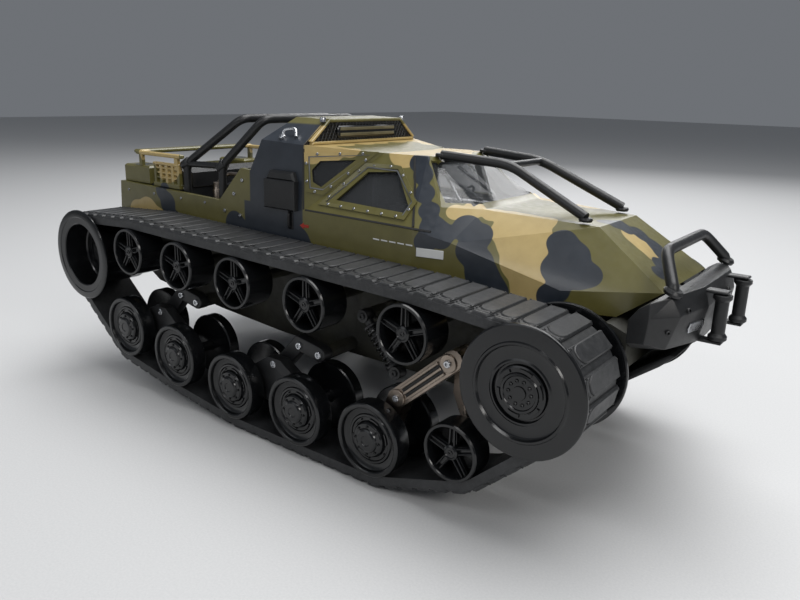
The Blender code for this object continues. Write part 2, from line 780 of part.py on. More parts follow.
REAR_FACET = ("belt_door", "waist", "flare")
FRONT_FACET = ("belt_door", "belt_mid", "roof_front")
REAR_WINDOW = ((0.0111, 0.1576), (0.0290, 0.1589), (0.0121, 0.1431), (0.0079, 0.1457), (0.0072, 0.1524))
FRONT_WINDOW = ((0.0372, 0.1529), (0.0573, 0.1545), (0.0740, 0.1381), (0.0729, 0.1355), (0.0237, 0.1370))
GLAZING_PAIRS = (
    ((0.0052, 0.1395, REAR_FACET), (0.0048, 0.1605, REAR_FACET)),
    ((0.0095, 0.1344, FRONT_FACET), (0.0385, 0.1593, FRONT_FACET)),
    ((0.0772, 0.1336, FRONT_FACET), (0.0588, 0.1575, FRONT_FACET)),
)
SIDE_WAY = (0.287, 0.966, 0.368)
GLASS_WAY = (0.550, 0.0, 0.835)
SKIN = 0.0013
GLASS_GAP = 0.0004
GLASS_THICK = 0.0012
POCKET = 0.0100


def strip(name, pairs, way, low, high, finish=CAMO):
    """A bent plate: pairs of edge points, thickened along way from offset low to offset high."""
    sections = []
    for pair in pairs:
        ring = []
        for point, size in ((pair[0], low), (pair[1], low), (pair[1], high), (pair[0], high)):
            ring.append([p + w * size for p, w in zip(point, way)])
        sections.append(ring)
    return loft(name, sections, finish)


def shrunk(pairs, inset):
    """The same strip with its edges moved inwards by about inset."""
    points = [p for pair in pairs for p in pair]
    centre = [sum(p[i] for p in points) / len(points) for i in range(3)]
    made = []
    for pair in pairs:
        moved = []
        for p in pair:
            away = [c - q for c, q in zip(centre, p)]
            length = math.sqrt(sum(v * v for v in away))
            moved.append(tuple(q + v / length * inset for q, v in zip(p, away)))
        made.append(tuple(moved))
    return made


def glazing_pairs(side):
    """Edges of the bent side glazing, from its rear edge over the crease to its front edge."""
    pairs = []
    for pair in GLAZING_PAIRS:
        made = [on_facet(*spot) for spot in pair]
        pairs.append(tuple((x, side * y, z) for x, y, z in made))
    return pairs


def between(a, b, share):
    return tuple(p + (q - p) * share for p, q in zip(a, b))


def windscreen_pairs(low, high, edge):
    """Foot and top of the glass at each bend, from the left pillar round to the right one."""
    outer = (SHELL["glass_rear"], SHELL["roof_front"])
    bend = (SHELL["glass_foot"], SHELL["glass_top"])
    border = [between(a, b, edge) for a, b in zip(outer, bend)]
    pairs = [(between(foot, top, low), between(foot, top, high)) for foot, top in (border, bend)]
    return pairs + [(mirrored(a), mirrored(b)) for a, b in reversed(pairs)]


def windscreen_panes():
    """Outlines of the three openings: one across the front and one in each quarter."""
    left, bend, far, _ = windscreen_pairs(0.10, 0.92, 0.16)
    front = [between(bend[0], far[0], 0.05), between(bend[1], far[1], 0.05)]
    front += [between(far[1], bend[1], 0.05), between(far[0], bend[0], 0.05)]
    quarter = [left[0], left[1], between(bend[1], left[1], 0.18), between(bend[0], left[0], 0.14)]
    return [front, quarter, [mirrored(p) for p in quarter]]


def pane_cutter(outline, way):
    """A prism through the skin behind a pane's outline."""
    ends = []
    for size in (-POCKET * 0.5, POCKET * 0.4):
        ends.append([[c + v * size for c, v in zip(corner, way)] for corner in outline])
    return loft("pane", ends, CAMO)


def body_shell():
    """The outer skin; each window has a pocket behind it that the glazing lies in."""
    shell = shell_solid()
    cut(shell, bed_cutters() + [cabin_cutter()])
    cutters = [strip("pocket", windscreen_pairs(0.02, 0.98, 0.04), GLASS_WAY, -POCKET, -SKIN)]
    panes = [pane_cutter(outline, GLASS_WAY) for outline in windscreen_panes()]
    for side in SIDES.values():
        way = (SIDE_WAY[0], side * SIDE_WAY[1], SIDE_WAY[2])
        cutters.append(strip("pocket", shrunk(glazing_pairs(side), -0.0006), way, -POCKET, -SKIN))
        for outline, facet in ((REAR_WINDOW, REAR_FACET), (FRONT_WINDOW, FRONT_FACET)):
            corners = [on_facet(x, z, facet) for x, z in outline]
            panes.append(pane_cutter([(x, side * y, z) for x, y, z in corners], way))
    cut(shell, cutters)
    cut(shell, panes)
    cut(shell, [box("grille_pocket", (-0.0060, -0.0320, 0.1675), (0.0060, 0.0320, 0.1782), CAMO)])


def windows():
    outer = -SKIN - GLASS_GAP
    inner = outer - GLASS_THICK
    for word, side in SIDES.items():
        way = (SIDE_WAY[0], side * SIDE_WAY[1], SIDE_WAY[2])
        strip(f"side_window_{word}", glazing_pairs(side), way, inner, outer, GLASS)
    strip("windscreen", windscreen_pairs(0.04, 0.96, 0.07), GLASS_WAY, inner, outer, GLASS)


def light_grille():
    """Mesh panel and lamp bar that close the raised rear of the roof."""
    panel = box("roof_light_grille", (0.0000, -0.0316, 0.1679), (0.0014, 0.0316, 0.1778), BLACK)
    lamp = box("lamp", (0.0010, -0.0240, 0.1700), (0.0036, 0.0240, 0.1758), BLACK)
    join(panel, [lamp])


# ---------------------------------------------------------------- fittings
def engine_cover():
    profile = [
        (-0.1762, DECK_TOP + 0.0003),
        (-0.1762, 0.1405),
        (-0.1640, 0.1414),
        (-0.1600, 0.1520),
        (-0.1165, 0.1503),
        (-0.1165, DECK_TOP + 0.0003),
    ]
    cover = plate("engine_cover", profile, -0.0495, 0.0495, CAMO)
    slots = []
    for side in SIDES.values():
        bounds = sorted((side * 0.0460, side * 0.0510))
        for z in (0.1330, 0.1420):
            slots.append(box("slot", (-0.1560, bounds[0], z), (-0.1200, bounds[1], z + 0.0045), CAMO))
    cut(cover, slots)


def both_sides(points):
    """A route and its mirror image in one line, from the left foot to the right foot."""
    return list(points) + [mirrored(p) for p in reversed(points)]


def roll_cage():
    """Two hoops that stand on the bed floor inside the side walls, joined by a bar on each side."""
    foot = DECK_TOP + 0.0003
    knees = {"rear": (-0.1120, CAGE_HALF, 0.1466), "front": (-0.0758, CAGE_HALF, 0.1478)}
    tops = {"rear": (-0.0625, 0.0410, 0.1778), "front": (-0.0425, 0.0410, 0.1782)}
    hoops = []
    for key, knee in knees.items():
        route = both_sides([(knee[0] - 0.0005, CAGE_HALF, foot), knee, tops[key]])
        hoops.append(bent_tube("roll_cage", route, TUBE_R, 8, BLACK))
    for side in SIDES.values():
        ends = [(knee[0], side * knee[1], knee[2]) for knee in knees.values()]
        hoops.append(rod("link", *ends, TUBE_R * 0.8, 8, BLACK))
    join(hoops[0], hoops[1:])
    hoops[0].name = "roll_cage"


def windscreen_guard():
    bars = []
    for side in SIDES.values():
        roof_end, knee = (0.0765, side * 0.0226, 0.1643), (0.1155, side * 0.0177, 0.1618)
        route = [roof_end, knee, (0.1612, side * 0.0233, 0.1408)]
        bars.append(bent_tube("windscreen_guard", route, 0.0025, 8, BLACK))
    bars.append(rod("cross_bar", (0.1150, -0.0177, 0.1615), (0.1150, 0.0177, 0.1615), 0.0018, 8, BLACK))
    join(bars[0], bars[1:])
    bars[0].name = "windscreen_guard"


def front_bumper():
    sections = []
    back = 0.1968
    tip = ((back, 0.0935), (back, 0.1040), (0.2010, 0.1100), (0.2055, 0.1130), (0.2060, 0.1060), (0.2050, 0.0945))
    knee = ((back, 0.0890), (back, 0.1035), (0.2070, 0.1145), (0.2119, 0.1152), (0.2165, 0.1075), (0.2117, 0.0915))
    middle = ((back, 0.0880), (back, 0.1035), (0.2085, 0.1150), (0.2190, 0.1170), (0.2218, 0.1085), (0.2190, 0.0915))
    rows = ((0.0520, tip), (0.0440, knee), (0.0220, middle))
    for half, outline in rows:
        sections.append([(x, half, z) for x, z in outline])
    for half, outline in reversed(rows):
        sections.append([(x, -half, z) for x, z in outline])
    loft("front_bumper", sections, BLACK)


def bull_bar():
    foot, bend = (0.2112, 0.0420, 0.1164), (0.2023, 0.0286, 0.1317)
    bent_tube("bull_bar", both_sides([foot, (0.2108, 0.0415, 0.1190), bend]), 0.0027, 8, BLACK)


def skid_plate():
    profile = [(0.1480, 0.0495), (0.1770, 0.0578), (0.2060, 0.0800), (0.2130, 0.0868)]
    profile += [(0.2100, 0.0872), (0.1968, 0.0775), (0.1762, 0.0600), (0.1476, 0.0515)]
    lowered = [(x, z - 0.0022) for x, z in profile]
    plate("skid_plate", lowered, -0.0300, 0.0300, BLACK)


def fairlead_rollers():
    """Upright rollers beside the tow opening, each turning on its own pin."""
    for word, side in SIDES.items():
        lower = ((0.0, 0.0930), (0.0040, 0.0930), (0.0040, 0.0952), (0.0030, 0.0962))
        outline = lower + ((0.0030, 0.1108), (0.0040, 0.1118), (0.0040, 0.1140), (0.0, 0.1140))
        made = lathe(f"fairlead_roller_{word}", outline, 1.0, 12, BLACK, (0.0, 0.0))
        for vertex in made.data.vertices:
            x, y, z = vertex.co
            vertex.co = (x, -z, y)
        made.location = (0.2262, side * 0.0182, 0.0)


lower_hull()
hull_contents()
body_shell()
windows()
light_grille()
engine_cover()
roll_cage()
windscreen_guard()
front_bumper()
bull_bar()
skid_plate()
fairlead_rollers()
for side_word, side_sign in SIDES.items():
    build_side(side_word, side_sign)
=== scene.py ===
import math

import bmesh
import bpy
from mathutils import Matrix, Vector
from mathutils.bvhtree import BVHTree


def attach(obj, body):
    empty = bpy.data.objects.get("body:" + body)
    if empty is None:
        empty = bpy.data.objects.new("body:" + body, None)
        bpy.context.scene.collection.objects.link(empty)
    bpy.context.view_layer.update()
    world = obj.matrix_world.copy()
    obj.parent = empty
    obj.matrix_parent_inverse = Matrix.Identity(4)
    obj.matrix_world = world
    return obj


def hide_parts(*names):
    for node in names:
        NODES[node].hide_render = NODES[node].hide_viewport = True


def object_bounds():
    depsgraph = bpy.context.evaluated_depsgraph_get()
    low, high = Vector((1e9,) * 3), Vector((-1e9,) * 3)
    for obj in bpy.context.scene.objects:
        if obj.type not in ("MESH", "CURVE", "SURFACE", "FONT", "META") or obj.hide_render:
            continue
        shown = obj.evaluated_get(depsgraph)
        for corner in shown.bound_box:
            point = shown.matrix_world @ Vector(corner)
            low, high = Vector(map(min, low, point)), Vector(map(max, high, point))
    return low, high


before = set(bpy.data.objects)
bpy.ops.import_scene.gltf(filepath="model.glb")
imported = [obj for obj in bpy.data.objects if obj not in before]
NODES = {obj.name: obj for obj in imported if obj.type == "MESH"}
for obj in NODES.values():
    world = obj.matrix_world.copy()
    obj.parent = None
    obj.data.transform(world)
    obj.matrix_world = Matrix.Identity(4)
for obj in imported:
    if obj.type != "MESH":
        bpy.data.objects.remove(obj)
CAD_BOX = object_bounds()
FX = -0.0127
SIDES = {"right": -1.0, "left": 1.0}


# ---------------------------------------------------------------- materials
class Shader:
    """A material and short ways to add nodes to it. Coordinates are the piece's own, in metres."""

    def __init__(self, name):
        self.material = bpy.data.materials.new(name)
        self.material.use_nodes = True
        self.tree = self.material.node_tree
        self.surface = self.tree.nodes["Principled BSDF"]
        self.place = self.node("ShaderNodeTexCoord").outputs["Object"]

    def node(self, kind, **settings):
        made = self.tree.nodes.new(kind)
        for key, value in settings.items():
            setattr(made, key, value)
        return made

    def link(self, a, b):
        self.tree.links.new(a, b)

    def put(self, socket, value):
        if isinstance(value, bpy.types.NodeSocket):
            self.link(value, socket)
        else:
            socket.default_value = value

    def math(self, operation, a, b=0.0):
        made = self.node("ShaderNodeMath", operation=operation)
        self.put(made.inputs[0], a)
        self.put(made.inputs[1], b)
        return made.outputs[0]

    def noise(self, scale, detail=3.0, rough=0.5, place=None):
        made = self.node("ShaderNodeTexNoise")
        self.link(place or self.place, made.inputs["Vector"])
        made.inputs["Scale"].default_value = scale
        made.inputs["Detail"].default_value = detail
        made.inputs["Roughness"].default_value = rough
        return made

    def span(self, value, low, high, to_low=0.0, to_high=1.0):
        made = self.node("ShaderNodeMapRange")
        self.put(made.inputs["Value"], value)
        for key, number in zip(("From Min", "From Max", "To Min", "To Max"), (low, high, to_low, to_high)):
            made.inputs[key].default_value = number
        return made.outputs["Result"]

    def mix(self, share, a, b):
        made = self.node("ShaderNodeMix", data_type="RGBA")
        self.put(made.inputs[0], share)
        self.put(made.inputs[6], a)
        self.put(made.inputs[7], b)
        return made.outputs[2]

    def bump(self, height, strength, distance):
        made = self.node("ShaderNodeBump")
        made.inputs["Strength"].default_value = strength
        made.inputs["Distance"].default_value = distance
        self.link(height, made.inputs["Height"])
        return made

    def set(self, key, value):
        self.put(self.surface.inputs[key], value)


def rgb(red, green, blue):
    return (red, green, blue, 1.0)


def moulded(name, dark, light, rough, bump=0.25, grain=2600.0, metallic=0.0, coat=0.0, dust=None):
    """Moulded or machined stock: two tones in broad patches, fine grain, and dust or wear where given."""
    made = Shader(name)
    broad = made.span(made.noise(55.0, 4.0, 0.6).outputs["Fac"], 0.35, 0.68)
    colour = made.mix(broad, rgb(*dark), rgb(*light))
    fine = made.noise(grain, 3.0, 0.6).outputs["Fac"]
    if dust:
        specks = made.span(made.noise(480.0, 5.0, 0.7).outputs["Fac"], 0.42, 0.75, 0.0, 0.55)
        colour = made.mix(specks, colour, rgb(*dust))
    made.set("Base Color", colour)
    made.set("Roughness", made.span(made.noise(210.0, 4.0, 0.65).outputs["Fac"], 0.3, 0.7, rough[0], rough[1]))
    made.set("Metallic", metallic)
    if coat:
        made.set("Coat Weight", coat)
        made.set("Coat Roughness", 0.08)
    made.set("Normal", made.bump(fine, bump, 0.00012).outputs["Normal"])
    return made.material


# Each patch is a chain of balls (x, |y| or y, z, radius) in millimetres, before the frame's shift.
SAND_BOTH = (
    (-148, 54, 110, 12), (-160, 54, 108, 11), (-136, 54, 106, 10), (60, 4, 164, 16), (58, 22, 164, 14),
    (8, 50, 164, 8), (17, 44, 164, 8), (26, 39, 165, 6), (4, 6, 168, 10), (4, 26, 168, 10), (4, 40, 168, 9),
    (97, 39, 138, 5), (105, 34, 140, 6), (115, 31, 139, 6), (124, 30, 138, 7), (133, 30, 137, 8),
    (142, 27, 137, 6), (127, 37, 132, 8), (134, 40, 127, 9), (139, 45, 119, 9), (146, 47, 108, 10),
    (141, 35, 132, 8), (147, 38, 125, 8), (150, 43, 112, 8),
    (-150, 50, 152, 10), (-128, 50, 147, 14),
)
SAND_ONCE = ((178, -6, 131, 6), (183, -4, 128, 7), (189, -4, 123.5, 6))
NAVY_BOTH = (
    (-125, 54, 120, 8), (-131, 54, 128, 6), (-118, 54, 110, 6), (-56, 54, 114, 8), (-52, 54, 106, 12),
    (-1, 54, 110, 10), (2, 54, 104, 10),
    (73, 35, 155, 6), (68, 31, 161, 6), (78, 41, 147, 6), (85, 46, 139, 6), (90, 49, 130, 7), (96, 49, 127, 7), (88,
        54, 122, 6),
    (121, 49, 110, 10), (127, 48, 103, 9), (106, 41, 131, 7.5), (115, 42, 127, 8), (113, 47, 121, 8),
    (120, 47, 116, 7), (155, 34, 129, 7.5), (161, 36, 123, 9), (157, 40, 117, 8.5), (167, 39, 116, 8),
    (160, 44, 109, 6), (172, 37, 116, 6), (155, 46, 105, 6), (-166, 44, 140, 6),
)
NAVY_ONCE = (
    (167, -8, 137, 6), (172, -2, 135, 6), (178, 6, 131, 6), (186, 8, 125.5, 6), (191, 5, 122, 6),
    (195, -6, 119.5, 6), (197, -16, 118, 5),
)
# Boxes (x, z, half length, half height) that fill the cab's rear panel out to its own edges.
NAVY_PANEL = ((-19.5, 152.0, 22.2, 25.0), (-22.0, 112.0, 25.0, 18.0))


def camouflage():
    """Three-colour paint laid as rounded patches at fixed places on the shell."""
    made = Shader("camo_paint_look")
    parts = made.node("ShaderNodeSeparateXYZ")
    made.link(made.place, parts.inputs[0])
    mirror = made.node("ShaderNodeCombineXYZ")
    made.link(parts.outputs[0], mirror.inputs[0])
    made.link(made.math("ABSOLUTE", parts.outputs[1]), mirror.inputs[1])
    made.link(parts.outputs[2], mirror.inputs[2])

    def wobbled(place):
        wave = made.noise(30.0, 1.0, 0.4, place)
        shift = made.node("ShaderNodeVectorMath", operation="MULTIPLY_ADD")
        made.link(wave.outputs["Color"], shift.inputs[0])
        shift.inputs[1].default_value = (0.005, 0.005, 0.005)
        moved = made.node("ShaderNodeVectorMath", operation="ADD")
        shift.inputs[2].default_value = (-0.0025, -0.0025, -0.0025)
        made.link(place, moved.inputs[0])
        made.link(shift.outputs[0], moved.inputs[1])
        return moved.outputs[0]

    both, once = wobbled(mirror.outputs[0]), wobbled(made.place)

    def patch(groups):
        nearest = None
        for place, balls in groups:
            for x, y, z, radius in balls:
                gap = made.node("ShaderNodeVectorMath", operation="DISTANCE")
                made.link(place, gap.inputs[0])
                gap.inputs[1].default_value = (x * 0.001 + FX, y * 0.001, z * 0.001)
                reach = made.math("DIVIDE", gap.outputs["Value"], radius * 0.001)
                if nearest is None:
                    nearest = reach
                    continue
                blended = made.node("ShaderNodeMath", operation="SMOOTH_MIN")
                made.link(nearest, blended.inputs[0])
                made.link(reach, blended.inputs[1])
                blended.inputs[2].default_value = 0.55
                nearest = blended.outputs[0]
        return nearest

    def panel(nearest):
        axes = made.node("ShaderNodeSeparateXYZ")
        made.link(made.place, axes.inputs[0])
        for x, z, length, height in NAVY_PANEL:
            along = made.math("ABSOLUTE", made.math("SUBTRACT", axes.outputs[0], x * 0.001 + FX))
            up = made.math("ABSOLUTE", made.math("SUBTRACT", axes.outputs[2], z * 0.001))
            along = made.math("DIVIDE", along, length * 0.001)
            up = made.math("DIVIDE", up, height * 0.001)
            nearest = made.math("MINIMUM", nearest, made.math("MAXIMUM", along, up))
        return nearest

    sand = made.span(patch(((both, SAND_BOTH), (once, SAND_ONCE))), 1.02, 0.98)
    navy = made.span(panel(patch(((both, NAVY_BOTH), (once, NAVY_ONCE)))), 1.02, 0.98)
    tone = made.span(made.noise(90.0, 4.0, 0.6).outputs["Fac"], 0.35, 0.65)
    olive = made.mix(tone, rgb(0.105, 0.094, 0.024), rgb(0.125, 0.112, 0.031))
    straw = made.mix(tone, rgb(0.40, 0.295, 0.115), rgb(0.455, 0.34, 0.140))
    slate = made.mix(tone, rgb(0.013, 0.018, 0.026), rgb(0.020, 0.026, 0.036))
    colour = made.mix(navy, made.mix(sand, olive, straw), slate)
    made.set("Base Color", colour)
    made.set("Roughness", made.span(made.noise(300.0, 3.0, 0.6).outputs["Fac"], 0.3, 0.7, 0.33, 0.46))
    made.set("Coat Weight", 0.5)
    made.set("Coat Roughness", 0.22)
    made.set("Normal", made.bump(made.noise(1900.0, 3.0, 0.6).outputs["Fac"], 0.12, 0.0001).outputs["Normal"])
    return made.material


def clear_sheet():
    """Thin glazing with a dark base colour and partial alpha: painted shade of the cab's interior behind it. Faint dust
    on a clear gloss.
    """
    made = Shader("clear_plastic_look")
    haze = made.span(made.noise(160.0, 4.0, 0.6).outputs["Fac"], 0.3, 0.8, 0.03, 0.10)
    made.set("Base Color", rgb(0.060, 0.064, 0.068))
    made.set("Roughness", haze)
    made.set("Transmission Weight", 0.0)
    made.set("Alpha", made.span(made.noise(90.0, 3.0, 0.5).outputs["Fac"], 0.3, 0.8, 0.34, 0.42))
    made.set("Specular IOR Level", 0.8)
    made.material.use_backface_culling = False
    return made.material


CAMO = camouflage()
CLEAR = clear_sheet()
RUBBER = moulded("track_rubber_look", (0.013, 0.014, 0.015), (0.022, 0.023, 0.025), (0.40, 0.55), 0.5, 1500.0,
                 dust=(0.050, 0.051, 0.053))
BLACK = moulded("black_plastic_look", (0.0065, 0.007, 0.0075), (0.011, 0.0115, 0.0125), (0.32, 0.46), 0.4, 2300.0,
                dust=(0.017, 0.017, 0.018))
GLOSS = moulded("gloss_black_look", (0.003, 0.0035, 0.004), (0.006, 0.0065, 0.0075), (0.15, 0.26), 0.10, 900.0)
BRONZE = moulded("bronze_metal_look", (0.24, 0.20, 0.165), (0.34, 0.285, 0.24), (0.24, 0.38), 0.3, 3000.0, 1.0)
STEEL = moulded("damper_steel_look", (0.42, 0.43, 0.45), (0.60, 0.61, 0.63), (0.18, 0.34), 0.2, 3000.0, 1.0)
MOTOR = moulded("motor_metal_look", (0.20, 0.21, 0.22), (0.30, 0.31, 0.33), (0.30, 0.45), 0.2, 2000.0, 0.8)
SLEEVE = moulded("battery_sleeve_look", (0.03, 0.06, 0.14), (0.05, 0.09, 0.19), (0.25, 0.4), 0.2, 900.0)
# Near-black: the dark joints of the door seams, and painted shade in the grooves between the front arm's ribs.
SEAM_AND_GROOVE_SHADE = moulded("dark_seam_and_groove_shade_look", (0.010, 0.010, 0.010), (0.018, 0.018, 0.018), (0.5, 0.7))
WHITE = moulded("pale_marking_look", (0.62, 0.63, 0.62), (0.72, 0.73, 0.72), (0.35, 0.5), 0.1)
RED = moulded("red_marking_look", (0.36, 0.03, 0.02), (0.46, 0.05, 0.03), (0.35, 0.5), 0.1)
# Near-black olive: the lower hull's olive paint darkened as painted shade under the body and behind the wheels.
HULL_SHADED = moulded("hull_shaded_olive_look", (0.012, 0.0115, 0.008), (0.022, 0.021, 0.012), (0.5, 0.7), 0.4, 1500.0)
SMOKE = moulded("lamp_lens_look", (0.10, 0.085, 0.045), (0.17, 0.15, 0.09), (0.12, 0.25), 0.1)
# Near-black: painted shade laid over the cab's inside walls, which are painted like the rest of the shell.
CAB_INSIDE_SHADE = moulded("cab_inside_shade_look", (0.008, 0.008, 0.009), (0.014, 0.014, 0.015), (0.5, 0.7), 0.3, 1800.0)
SEAT = moulded("cab_trim_look", (0.06, 0.06, 0.062), (0.11, 0.11, 0.115), (0.45, 0.6), 0.5, 1800.0)


# ---------------------------------------------------------------- shapes
def aim(position, way):
    """A placing whose own z axis points along way."""
    turn = Vector((0.0, 0.0, 1.0)).rotation_difference(Vector(way))
    return Matrix.Translation(Vector(position)) @ turn.to_matrix().to_4x4()


def wheel_place(centre, side):
    """Own z is the distance out from the middle of the vehicle, own y is up."""
    turn = Matrix(((-side, 0.0, 0.0), (0.0, 0.0, side), (0.0, 1.0, 0.0)))
    return Matrix.Translation(Vector((centre[0], 0.0, centre[1]))) @ turn.to_4x4()


class Shape:
    """Collects solids for one piece, all in metres before the frame's shift."""

    def __init__(self):
        self.points = []
        self.faces = []

    def add(self, points, faces, place=None):
        base = len(self.points)
        moved = [Vector(p) for p in points]
        if place is not None:
            moved = [place @ p for p in moved]
        self.points += moved
        self.faces += [[base + i for i in face] for face in faces]

    def lathe(self, profile, sectors, place=None):
        points, rings = [], []
        for radius, along in profile:
            if radius < 1e-6:
                rings.append([len(points)] * sectors)
                points.append((0.0, 0.0, along))
                continue
            rings.append(list(range(len(points), len(points) + sectors)))
            for k in range(sectors):
                turn = 2.0 * math.pi * k / sectors
                points.append((radius * math.cos(turn), radius * math.sin(turn), along))
        faces = []
        for low, high in zip(rings, rings[1:]):
            for k in range(sectors):
                n = (k + 1) % sectors
                corners = []
                for index in (low[k], low[n], high[n], high[k]):
                    if index not in corners:
                        corners.append(index)
                if len(corners) > 2:
                    faces.append(corners)
        self.add(points, faces, place)

    def ring(self, profile, sectors, place=None):
        """A closed profile turned about the axis."""
        count = len(profile)
        points = []
        for k in range(sectors):
            turn = 2.0 * math.pi * k / sectors
            points += [(r * math.cos(turn), r * math.sin(turn), along) for r, along in profile]
        faces = []
        for k in range(sectors):
            n = (k + 1) % sectors
            for j in range(count):
                m = (j + 1) % count
                faces.append((k * count + j, k * count + m, n * count + m, n * count + j))
        self.add(points, faces, place)

    def prism(self, outline, low, high, edge=0.0, place=None, both=False):
        """An outline raised along z with a bevelled top rim, and a bevelled foot if both."""
        inset = shrink(outline, edge)
        layers = [(outline, low), (outline, high - edge), (inset, high)]
        if both:
            layers = [(inset, low), (outline, low + edge)] + layers[1:]
        if edge == 0.0:
            layers = [(outline, low), (outline, high)]
        points = [(x, y, z) for line, z in layers for x, y in line]
        count = len(outline)
        faces = [tuple(range(count))[::-1], tuple(range(len(points) - count, len(points)))]
        for row in range(len(layers) - 1):
            for k in range(count):
                n = (k + 1) % count
                faces.append((row * count + k, row * count + n, (row + 1) * count + n, (row + 1) * count + k))
        self.add(points, faces, place)

    def bar(self, low, high, edge=0.0004, place=None):
        outline = [(low[0], low[1]), (high[0], low[1]), (high[0], high[1]), (low[0], high[1])]
        self.prism(outline, low[2], high[2], edge, place, both=True)

    def tube(self, route, radius, sectors=16, bend=0.0, place=None):
        route = rounded([Vector(p) for p in route], bend)
        ways = [(b - a).normalized() for a, b in zip(route, route[1:])]
        side = ways[0].orthogonal().normalized()
        points = []
        last = len(route) - 1
        for k, point in enumerate(route):
            along = (ways[max(0, k - 1)] + ways[min(k, last - 1)]).normalized()
            side = (side - along * side.dot(along)).normalized()
            other = along.cross(side)
            for j in range(sectors):
                turn = 2.0 * math.pi * j / sectors
                points.append(point + radius * (side * math.cos(turn) + other * math.sin(turn)))
        faces = [tuple(range(sectors))[::-1], tuple(range(last * sectors, (last + 1) * sectors))]
        for k in range(last):
            for j in range(sectors):
                n = (j + 1) % sectors
                faces.append((k * sectors + j, k * sectors + n, (k + 1) * sectors + n, (k + 1) * sectors + j))
        self.add(points, faces, place)

    def bolt(self, position, way, radius=0.0013, height=0.0009):
        """A socket-head screw."""
        profile = [(radius, -0.0005), (radius, height * 0.75), (radius * 0.85, height), (radius * 0.5, height)]
        profile += [(radius * 0.46, height * 0.35), (0.0, height * 0.35)]
        self.lathe([(0.0, -0.0005)] + profile, 12, aim(position, way))

    def piece(self, name, material, body, slot, *nodes, angle=32.0):
        mesh = bpy.data.meshes.new(name)
        shift = Vector((FX, 0.0, 0.0))
        mesh.from_pydata([p + shift for p in self.points], [], self.faces)
        return settle(name, mesh, material, body, nodes, angle)


def settle(name, mesh, material, body, nodes, angle):
    """Makes the object, sorts its normals and ties it to the frame."""
    shaped = bmesh.new()
    shaped.from_mesh(mesh)
    bmesh.ops.recalc_face_normals(shaped, faces=shaped.faces)
    shaped.to_mesh(mesh)
    shaped.free()
    mesh.shade_smooth()
    mesh.set_sharp_from_angle(angle=math.radians(angle))
    mesh.materials.clear()
    mesh.materials.append(material)
    made = bpy.data.objects.new(name, mesh)
    bpy.context.scene.collection.objects.link(made)
    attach(made, body)
    if nodes:
        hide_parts(*nodes)
    return made


def shrink(outline, by):
    """A convex outline moved in by a distance."""
    count = len(outline)
    area = sum(outline[k][0] * outline[(k + 1) % count][1] - outline[(k + 1) % count][0] * outline[k][1]
               for k in range(count))
    turn = 1.0 if area > 0.0 else -1.0
    moved = []
    for k in range(count):
        here = Vector(outline[k])
        before = (here - Vector(outline[k - 1])).normalized()
        after = (Vector(outline[(k + 1) % count]) - here).normalized()
        ins = [Vector((-w.y, w.x)) * turn for w in (before, after)]
        middle = (ins[0] + ins[1]).normalized()
        moved.append(tuple(here + middle * (by / max(0.35, middle.dot(ins[0])))))
    return moved


def rounded(route, bend, steps=6):
    """Each corner of a route becomes a short smooth curve."""
    if bend <= 0.0:
        return route
    line = [route[0]]
    for before, here, after in zip(route, route[1:], route[2:]):
        reach = min(bend, (here - before).length * 0.45, (after - here).length * 0.45)
        start, end = here + (before - here).normalized() * reach, here + (after - here).normalized() * reach
        for k in range(steps + 1):
            t = k / steps
            line.append(start * (1 - t) ** 2 + here * 2 * t * (1 - t) + end * t * t)
    line.append(route[-1])
    return line


def refine(node, material, bevel=0.0005, segments=2, body="root", angle=28.0, name=None, carve=(), crease=32.0):
    """A CAD node's own shape with softened edges; it stands for the node."""
    mesh = NODES[node].data.copy()
    shaped = bmesh.new()
    shaped.from_mesh(mesh)
    bmesh.ops.remove_doubles(shaped, verts=shaped.verts, dist=2e-6)
    bmesh.ops.dissolve_limit(shaped, angle_limit=math.radians(1.2), verts=shaped.verts, edges=shaped.edges)
    shaped.to_mesh(mesh)
    shaped.free()
    holder = bpy.data.objects.new("holder", mesh)
    bpy.context.scene.collection.objects.link(holder)
    for tool in carve:
        opening = holder.modifiers.new("opening", "BOOLEAN")
        opening.operation, opening.solver, opening.object = "DIFFERENCE", "EXACT", tool
    soften = holder.modifiers.new("soften", "BEVEL")
    soften.width, soften.segments = bevel, segments
    soften.limit_method, soften.angle_limit = "ANGLE", math.radians(angle)
    soften.use_clamp_overlap = True
    graph = bpy.context.evaluated_depsgraph_get()
    final = bpy.data.meshes.new_from_object(holder.evaluated_get(graph))
    bpy.data.objects.remove(holder)
    for tool in carve:
        bpy.data.objects.remove(tool)
    return settle(name or f"{node}_skin", final, material, body, (node,), crease)


def keep(node, material):
    """The CAD shape is right as it is: it gets the finish."""
    mesh = NODES[node].data
    mesh.materials.clear()
    mesh.materials.append(material)


# ---------------------------------------------------------------- running gear
OUT = 0.0956
DRIVE, DRIVE_DRUM, DRIVE_DISC = (0.1698, 0.0763), 0.0215, 0.0302
REAR, REAR_DRUM, REAR_DISC = (-0.1694, 0.0832), 0.0220, 0.0306
ROAD_R = 0.0199
ROAD = ((-0.1223, 0.0414), (-0.0713, 0.0332), (-0.0185, 0.0270), (0.0346, 0.0270), (0.0868, 0.0270))
LEAD, LEAD_R = (0.1363, 0.0368), 0.0145
ROLLER_R = 0.0150
ROLLERS = [(x, 0.0905 - 0.0257 * x) for x in (-0.1136, -0.0639, -0.0131, 0.0428, 0.1067)]


